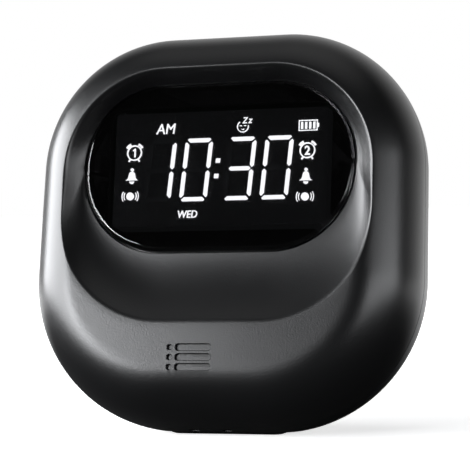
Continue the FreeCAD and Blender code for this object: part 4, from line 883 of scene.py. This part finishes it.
rear = make_rear_shell()
cut(rear, screw_posts(), operation="UNION")
cut(rear, opening_tools(), *well_tools())
rear.data.transform(CASE)
cut_level(rear, FOOT_FLAT)
smooth(rear)
settle(rear, REAR_PLASTIC, "case", "rear_plastic", "rear_shell", stand=False)


# The buttons, the snooze bar and the foot

def make_button(name, u):
    """A rubber key with a rounded edge."""
    return pill(f"{name}_key", button_discs(u), -REAR_DEPTH + WALL, -REAR_DEPTH - BUTTON_PROUD,
                -BUTTON_EDGE, steps=6, detail=SMALL_OUTLINE)


def make_snooze_bar():
    bar_form = block("snooze_bar_skin", -SNOOZE_HALF_LENGTH, SNOOZE_HALF_LENGTH, SNOOZE_LOW,
                     HALF_HEIGHT + WALL, -SNOOZE_FAR, -SNOOZE_NEAR)
    cut(bar_form, case_form("snooze_limit", SNOOZE_PROUD), operation="INTERSECT")
    bevel_sharp(bar_form, SNOOZE_EDGE)
    return bar_form


def make_foot():
    """A rubber pad whose top is hollowed to the case."""
    discs = rounded_box(FOOT_HALF_WIDTH, FOOT_HALF_DEPTH, FOOT_CORNER)
    pad = pill("foot_skin", discs, FOOT_WRAP, 0, -FOOT_EDGE)
    form = case_form("foot_limit", FOOT_GAP)
    form.data.transform(CASE)
    cut_level(form, FOOT_FLAT)
    cut(pad, form)
    return pad


for button_name, button_u in zip(BUTTON_NAMES, button_places()):
    key = make_button(button_name, button_u)
    smooth(key)
    settle(key, RUBBER, button_name, "button_rubber", f"{button_name}_button")

snooze = make_snooze_bar()
smooth(snooze)
settle(snooze, RUBBER, "snooze", "button_rubber", "snooze_bar")

foot = make_foot()
smooth(foot)
settle(foot, FOOT_RUBBER, "case", "foot_rubber", "rubber_foot", stand=False)


# The window

lens = pill("lens", lens_discs(), LENS_FRONT - LENS_THICKNESS, LENS_FRONT, LENS_EDGE)
smooth(lens, 50)
settle(lens, WINDOW, "case", "lens_plastic", "display_lens")


# The lit display

DIGIT_HEIGHT = 15.95 * MM
DIGIT_MIDDLE = 14.07 * MM
DIGIT_WIDTH = 7.2 * MM
DIGIT_STROKE = 1 * MM
DIGIT_GAP = 0.28 * MM
LEVEL_TRIM = 0.55 * MM
DIGIT_SLANT = math.tan(math.radians(4.5))
DIGIT_PITCH = 9.55 * MM
PAIR_PITCH = 20.9 * MM
DIGITS_LEFT = 0.35 * MM
COLON_SIDE = 1.08 * MM
COLON_SPREAD = 3.9 * MM
COLON_LEFT = 0.2 * MM
COLON_UP = 0.2 * MM
WORD_SLANT = 0.13
WORD_WEIGHT = 0.005
SLEEP_SLANT = 0.2
WORDS = (
    ("half_of_day", "AM", -14.5 * MM, 24.8 * MM, 5.1 * MM, 2.6 * MM, WORD_SLANT),
    ("day_of_week", "WED", -7.85 * MM, 2.8 * MM, 5.1 * MM, 1.85 * MM, WORD_SLANT, WORD_WEIGHT),
)
ALARM_PLACES = (("1", -22.65 * MM, 18.85 * MM), ("2", 22.6 * MM, 18.1 * MM))
BELL_PLACES = ((-23.05 * MM, 12.95 * MM), (22.4 * MM, 11.75 * MM))
SHAKE_PLACES = ((-23.3 * MM, 7.7 * MM), (22.3 * MM, 6.55 * MM))
BATTERY_PLACE = 22.6 * MM, 24.4 * MM
SLEEP_PLACE = 5.8 * MM, 24.7 * MM
SEGMENT_NAMES = ("top", "bottom", "middle", "lower_left", "upper_left", "lower_right", "upper_right")
DIGIT_SEGMENTS = {
    "0": ("top", "bottom", "lower_left", "upper_left", "lower_right", "upper_right"),
    "1": ("lower_right", "upper_right"),
    "3": ("top", "bottom", "middle", "lower_right", "upper_right"),
}
TIME_SHOWN = "1030"


def segment_outlines():
    """The seven segments of a digit by name, as corner points before the slant."""
    half = DIGIT_WIDTH / 2
    rise = DIGIT_HEIGHT / 2
    stroke = DIGIT_STROKE
    gap = DIGIT_GAP
    nose = stroke / 3
    side_end = rise - gap - nose

    def level(y, up):
        inner = y - up * stroke
        tip = half - LEVEL_TRIM
        return [(-tip + nose, y), (tip - nose, y), (tip, y - up * nose),
                (tip - stroke + nose, inner), (-tip + stroke - nose, inner), (-tip, y - up * nose)]

    tip = half - gap - stroke / 2
    middle = [(-tip, 0), (-tip + stroke / 2, stroke / 2), (tip - stroke / 2, stroke / 2),
              (tip, 0), (tip - stroke / 2, -stroke / 2), (-tip + stroke / 2, -stroke / 2)]
    outlines = [level(rise, 1), level(-rise, -1), middle]
    for side in (-1, 1):
        for up in (-1, 1):
            outlines.append([
                (side * half, up * (side_end - 2 * nose)), (side * half, up * (gap + stroke / 2)),
                (side * (half - stroke / 2), up * gap),
                (side * (half - stroke), up * (gap + stroke / 2)),
                (side * (half - stroke), up * (side_end - stroke)),
                (side * (half - nose), up * (side_end - nose))])
    return dict(zip(SEGMENT_NAMES, outlines))


def slanted(points, u):
    """Points of a digit at its place in the display."""
    return [(u - DIGITS_LEFT + x + y * DIGIT_SLANT, DIGIT_MIDDLE + y) for x, y in points]


def make_digits():
    """Every segment of the four digits and the colon, as lit and unlit plates."""
    lit = []
    unlit = []
    places = [pair * PAIR_PITCH / 2 + side * DIGIT_PITCH / 2 for pair in (-1, 1) for side in (-1, 1)]
    for u, figure in zip(places, TIME_SHOWN):
        for name, points in segment_outlines().items():
            group = lit if name in DIGIT_SEGMENTS[figure] else unlit
            group.append(plate("segment", slanted(points, u)))
    half = COLON_SIDE / 2
    for up in (-1, 1):
        y = COLON_UP + up * COLON_SPREAD / 2
        corners = ((-half, y - half), (half, y - half), (half, y + half), (-half, y + half))
        lit.append(plate("colon_dot", slanted(corners, -COLON_LEFT)))
    return join("lit_digits", lit), join("unlit_digits", unlit)


FIGURE_HEIGHT = 2.3 * MM
FIGURE_ONE = (
    (-0.02 * MM, -1.1 * MM), (0.3 * MM, -1.1 * MM), (0.3 * MM, 1.1 * MM), (0.05 * MM, 1.1 * MM),
    (-0.4 * MM, 0.72 * MM), (-0.4 * MM, 0.42 * MM), (-0.02 * MM, 0.68 * MM))


def alarm_mark(figure, u, v):
    """An alarm clock: a ring with two bells, two feet and its number."""
    dial_radius, dial_line = 1.85 * MM, 0.3 * MM
    bell_radius, bell_width, bell_turn, bell_half_turn = 2.4 * MM, 0.55 * MM, 42, 17
    leg_side, leg_drop, leg_half, leg_line, leg_turn = 1.25 * MM, 1.95 * MM, 0.33 * MM, 0.2 * MM, 55
    figure_width, figure_weight = 1.35 * MM, 0.015
    pieces = [ring_band("dial", u, v, dial_radius, dial_line)]
    for side in (-1, 1):
        centre = 90 - side * bell_turn
        pieces.append(band(
            "bell_top", u, v, bell_radius, bell_width, centre - bell_half_turn, centre + bell_half_turn))
        pieces.append(bar("leg", u + side * leg_side, v - leg_drop, leg_half, leg_line, -side * leg_turn))
    if figure == "1":
        pieces.append(plate("figure", [(u + x, v + y) for x, y in FIGURE_ONE]))
    else:
        pieces.append(lettering("figure", figure, u, v, figure_width, FIGURE_HEIGHT, weight=figure_weight))
    return pieces


def bell_mark(u, v):
    """A bell: a dot, a flared body and the clapper below it."""
    crown_radius, crown_rise, body_height = 0.8 * MM, 0.3 * MM, 1.45 * MM
    taper, flare, flare_power = 0.3 * MM, 0.55 * MM, 5
    knob_rise, knob_radius, knob_points = 1.55 * MM, 0.42 * MM, 16
    clapper_drop, clapper_radius = 1.45 * MM, 0.62 * MM
    side_points, half_turn_points = 9, 9
    body = []
    for share in np.linspace(0, 1, side_points):
        half = crown_radius + taper * share + flare * share ** flare_power
        body.append((half, crown_rise - body_height * share))
    crown = arc_points(0, crown_rise, crown_radius, 0, 180, half_turn_points)[1:-1]
    left = [(-x, y) for x, y in body[::-1]]
    outline_points = body[::-1] + [tuple(point) for point in crown] + left[::-1]
    places = [(u + x, v + y) for x, y in outline_points]
    return [
        plate("bell_body", places),
        disc("bell_knob", u, v + knob_rise, knob_radius, knob_points),
        plate("clapper", arc_points(u, v - clapper_drop, clapper_radius, 180, 360, half_turn_points)),
    ]


def shake_mark(u, v):
    """A dot with two arcs to each side."""
    dot_radius, arc_line, arc_half_turn = 1 * MM, 0.16 * MM, 33
    pieces = [disc("shake_dot", u, v, dot_radius)]
    for radius in (1.65 * MM, 2.2 * MM):
        for middle in (0, 180):
            pieces.append(band(
                "shake_arc", u, v, radius, arc_line, middle - arc_half_turn, middle + arc_half_turn))
    return pieces


def battery_mark(u, v):
    """A battery: outline, tip and four bars."""
    half_width, half_height, line = 2.3 * MM, 1.25 * MM, 0.09 * MM
    tip_out, tip_half_width, tip_half_height = 0.3 * MM, 0.16 * MM, 0.5 * MM
    bar_pitch, bar_half_width, bar_half_height, bar_count = 1.03 * MM, 0.26 * MM, 0.84 * MM, 4
    pieces = [
        bar("battery_top", u, v + half_height, half_width + line, line),
        bar("battery_foot", u, v - half_height, half_width + line, line),
        bar("battery_left", u - half_width, v, half_height, line, 90),
        bar("battery_right", u + half_width, v, half_height, line, 90),
        bar("battery_tip", u + half_width + tip_out, v, tip_half_width, tip_half_height),
    ]
    for step in range(bar_count):
        along = (step - (bar_count - 1) / 2) * bar_pitch
        pieces.append(bar("battery_bar", u + along, v, bar_half_width, bar_half_height))
    return pieces


def sleep_mark(u, v):
    """A sleeping face: an open circle, two closed eyes, a mouth and two letters."""
    face_radius, face_line, face_from, face_to = 1.42 * MM, 0.2 * MM, 125, 370
    eye_side, eye_rise, eye_half, eye_line = 0.55 * MM, 0.2 * MM, 0.27 * MM, 0.08 * MM
    mouth_drop, mouth_radius, mouth_line, mouth_from, mouth_to = 0.35 * MM, 0.42 * MM, 0.14 * MM, 215, 325
    letters = (
        ("large_z", "Z", 0.55 * MM, 1.55 * MM, 1.4 * MM, 1.5 * MM),
        ("small_z", "z", 1.9 * MM, 1.35 * MM, 1.05 * MM, 1.05 * MM))
    pieces = [band("face", u, v, face_radius, face_line, face_from, face_to)]
    for side in (-1, 1):
        pieces.append(bar("eye", u + side * eye_side, v + eye_rise, eye_half, eye_line))
    pieces.append(band("mouth", u, v - mouth_drop, mouth_radius, mouth_line, mouth_from, mouth_to))
    for name, letter, right, rise, width, height in letters:
        pieces.append(lettering(name, letter, u + right, v + rise, width, height, SLEEP_SLANT))
    return pieces


def make_marks():
    """Everything lit beside the digits."""
    pieces = [lettering(*word) for word in WORDS]
    for place in ALARM_PLACES:
        pieces += alarm_mark(*place)
    for place in BELL_PLACES:
        pieces += bell_mark(*place)
    for place in SHAKE_PLACES:
        pieces += shake_mark(*place)
    pieces += battery_mark(*BATTERY_PLACE) + sleep_mark(*SLEEP_PLACE)
    return join("lit_marks", pieces)


lit_digits, unlit_digits = make_digits()
settle(lit_digits, LIT, "case", "display_white", "digit_segments")
settle(unlit_digits, UNLIT, "case", "display_white", "digit_segments")
settle(make_marks(), LIT, "case", "display_white")


# Floor, light and camera

FLOOR_SIZE = 8
FLOOR_ROUGHNESS = 0.9
FLOOR_WHITE = 0.9
FLOOR_SEEN_BY_LIGHT = 0.06
FLOOR_GLOW = 0.7
FLOOR_GLOW_FAR = 1.05
FLOOR_SHADOW_REACH = 0.16
FLOOR_PLAIN_FROM = 0.5
FLOOR_WHITE_NEAR = 0.04
FLOOR_WHITE_FAR = 0.2
BACKDROP_NEAR = 0.4
BACKDROP_FAR = 1.05
ROOM_LOW = 0.02
ROOM_HIGH = 0.5
ROOM_DARK_BELOW = 0.8
STUDIO_LIGHT = (0.96, 0.975, 1)
SOFTBOX_DISTANCE = 0.9
SOFTBOXES = (
    ("left_key", -71, 15, 1.36, 0.47, 12.5),
    ("chin_strip", -31, 12, 0.2, 0.12, 32),
    ("right_fill", 63, -3, 1.1, 0.6, 4),
)


def fade(tree, value, start, stop, low=0.0, high=1.0):
    """A value that runs from low to high between two places."""
    node = tree.nodes.new("ShaderNodeMapRange")
    node.inputs["From Min"].default_value = start
    node.inputs["From Max"].default_value = stop
    node.inputs["To Min"].default_value = low
    node.inputs["To Max"].default_value = high
    tree.links.new(value, node.inputs["Value"])
    return node.outputs["Result"]


def blend_colors(tree, factor, first, second):
    """A mix of two colours, each a socket or a grey level."""
    node = tree.nodes.new("ShaderNodeMix")
    node.data_type = "RGBA"
    tree.links.new(factor, node.inputs["Factor"])
    for label, value in (("A", first), ("B", second)):
        if isinstance(value, bpy.types.NodeSocket):
            tree.links.new(value, node.inputs[label])
        else:
            node.inputs[label].default_value = (value, value, value, 1)
    return node.outputs["Result"]


def seen_white(tree, depth):
    """How far a ray sees the white set: a camera ray fully, gloss and glass only behind the clock."""
    rays = tree.nodes.new("ShaderNodeLightPath")
    mirrored = math_node(tree, "MAXIMUM", rays.outputs["Is Glossy Ray"], rays.outputs["Is Transmission Ray"])
    behind = math_node(tree, "MULTIPLY", mirrored, depth)
    return math_node(tree, "MAXIMUM", rays.outputs["Is Camera Ray"], behind)


def make_floor():
    """A pale floor that fades into the white background and keeps a soft shadow."""
    deselect()
    bpy.ops.mesh.primitive_plane_add(size=FLOOR_SIZE, location=(0, 0, 0))
    floor = active()
    floor.name = "floor"
    material, tree, shader = new_material("floor")
    place = tree.nodes.new("ShaderNodeTexCoord").outputs["Object"]
    split = tree.nodes.new("ShaderNodeSeparateXYZ")
    tree.links.new(place, split.inputs["Vector"])
    white = seen_white(tree, fade(tree, split.outputs["Y"], FLOOR_WHITE_NEAR, FLOOR_WHITE_FAR))
    away = tree.nodes.new("ShaderNodeVectorMath")
    away.operation = "LENGTH"
    tree.links.new(place, away.inputs[0])
    glow = fade(
        tree, away.outputs["Value"], FLOOR_SHADOW_REACH, FLOOR_PLAIN_FROM, FLOOR_GLOW, FLOOR_GLOW_FAR)
    tree.links.new(blend_colors(tree, white, FLOOR_SEEN_BY_LIGHT, FLOOR_WHITE), shader.inputs["Base Color"])
    tree.links.new(blend_colors(tree, white, 0.0, glow), shader.inputs["Emission Color"])
    shader.inputs["Emission Strength"].default_value = 1.0
    shader.inputs["Roughness"].default_value = FLOOR_ROUGHNESS
    shader.inputs["Specular IOR Level"].default_value = 0.0
    floor.data.materials.append(material)


def add_softbox(name, turn, rise, width, height, radiance):
    """An area light seen from the clock at a turn from the viewer and a rise, in degrees."""
    around = math.radians(turn)
    upward = math.radians(rise)
    middle = Vector((0, 0, GROUND_DROP))
    away = Vector((math.cos(upward) * math.sin(around), -math.cos(upward) * math.cos(around),
                   math.sin(upward)))
    data = bpy.data.lights.new(name, "AREA")
    data.shape = "RECTANGLE"
    data.size = width
    data.size_y = height
    data.energy = radiance * math.pi * width * height
    data.color = STUDIO_LIGHT
    lamp = bpy.data.objects.new(name, data)
    bpy.context.scene.collection.objects.link(lamp)
    lamp.location = middle + SOFTBOX_DISTANCE * away
    lamp.rotation_euler = (-away).to_track_quat("-Z", "Y").to_euler()


def make_world():
    """White for the camera and behind the clock, and for all else a dim room, lighter above."""
    world = bpy.data.worlds.new("studio")
    bpy.context.scene.world = world
    world.use_nodes = True
    tree = world.node_tree
    split = tree.nodes.new("ShaderNodeSeparateXYZ")
    tree.links.new(tree.nodes.new("ShaderNodeTexCoord").outputs["Generated"], split.inputs["Vector"])
    room = fade(tree, split.outputs["Z"], ROOM_DARK_BELOW, 1, ROOM_LOW, ROOM_HIGH)
    white = seen_white(tree, fade(tree, split.outputs["Y"], BACKDROP_NEAR, BACKDROP_FAR))
    tree.links.new(blend_colors(tree, white, room, 1.0), tree.nodes["Background"].inputs["Color"])


# The photograph's view, with its shift on the case's face and its scale on a picture 470 pixels wide

VIEW_YAW = math.radians(17.8)
VIEW_PITCH = math.radians(-10)
VIEW_ROLL = math.radians(-2.1)
VIEW_DISTANCE = 466 * MM
VIEW_SHIFT = Vector((-1.01 * MM, 0.53 * MM, 0))
PIXELS_PER_METRE = 3953
FRAME_PIXELS = 470
SENSOR = 36
CLIP_NEAR = 0.01
CLIP_FAR = 20


def make_camera():
    """The camera stands to the viewer's right of the display, a little below its axis."""
    turn = (Matrix.Rotation(VIEW_ROLL, 3, "Z") @ Matrix.Rotation(VIEW_PITCH, 3, "X")
            @ Matrix.Rotation(-VIEW_YAW, 3, "Y"))
    data = bpy.data.cameras.new("camera")
    camera = bpy.data.objects.new("camera", data)
    bpy.context.scene.collection.objects.link(camera)
    bpy.context.scene.camera = camera
    away = turn.transposed() @ (Vector((0, 0, VIEW_DISTANCE)) - VIEW_SHIFT)
    pose = Matrix.Translation(away) @ turn.transposed().to_4x4()
    camera.matrix_world = CASE @ pose
    data.sensor_width = SENSOR
    data.lens = PIXELS_PER_METRE * VIEW_DISTANCE / FRAME_PIXELS * SENSOR
    data.clip_start = CLIP_NEAR
    data.clip_end = CLIP_FAR


make_floor()
make_world()
for softbox in SOFTBOXES:
    add_softbox(*softbox)
make_camera()
bpy.context.scene.view_settings.view_transform = "Standard"
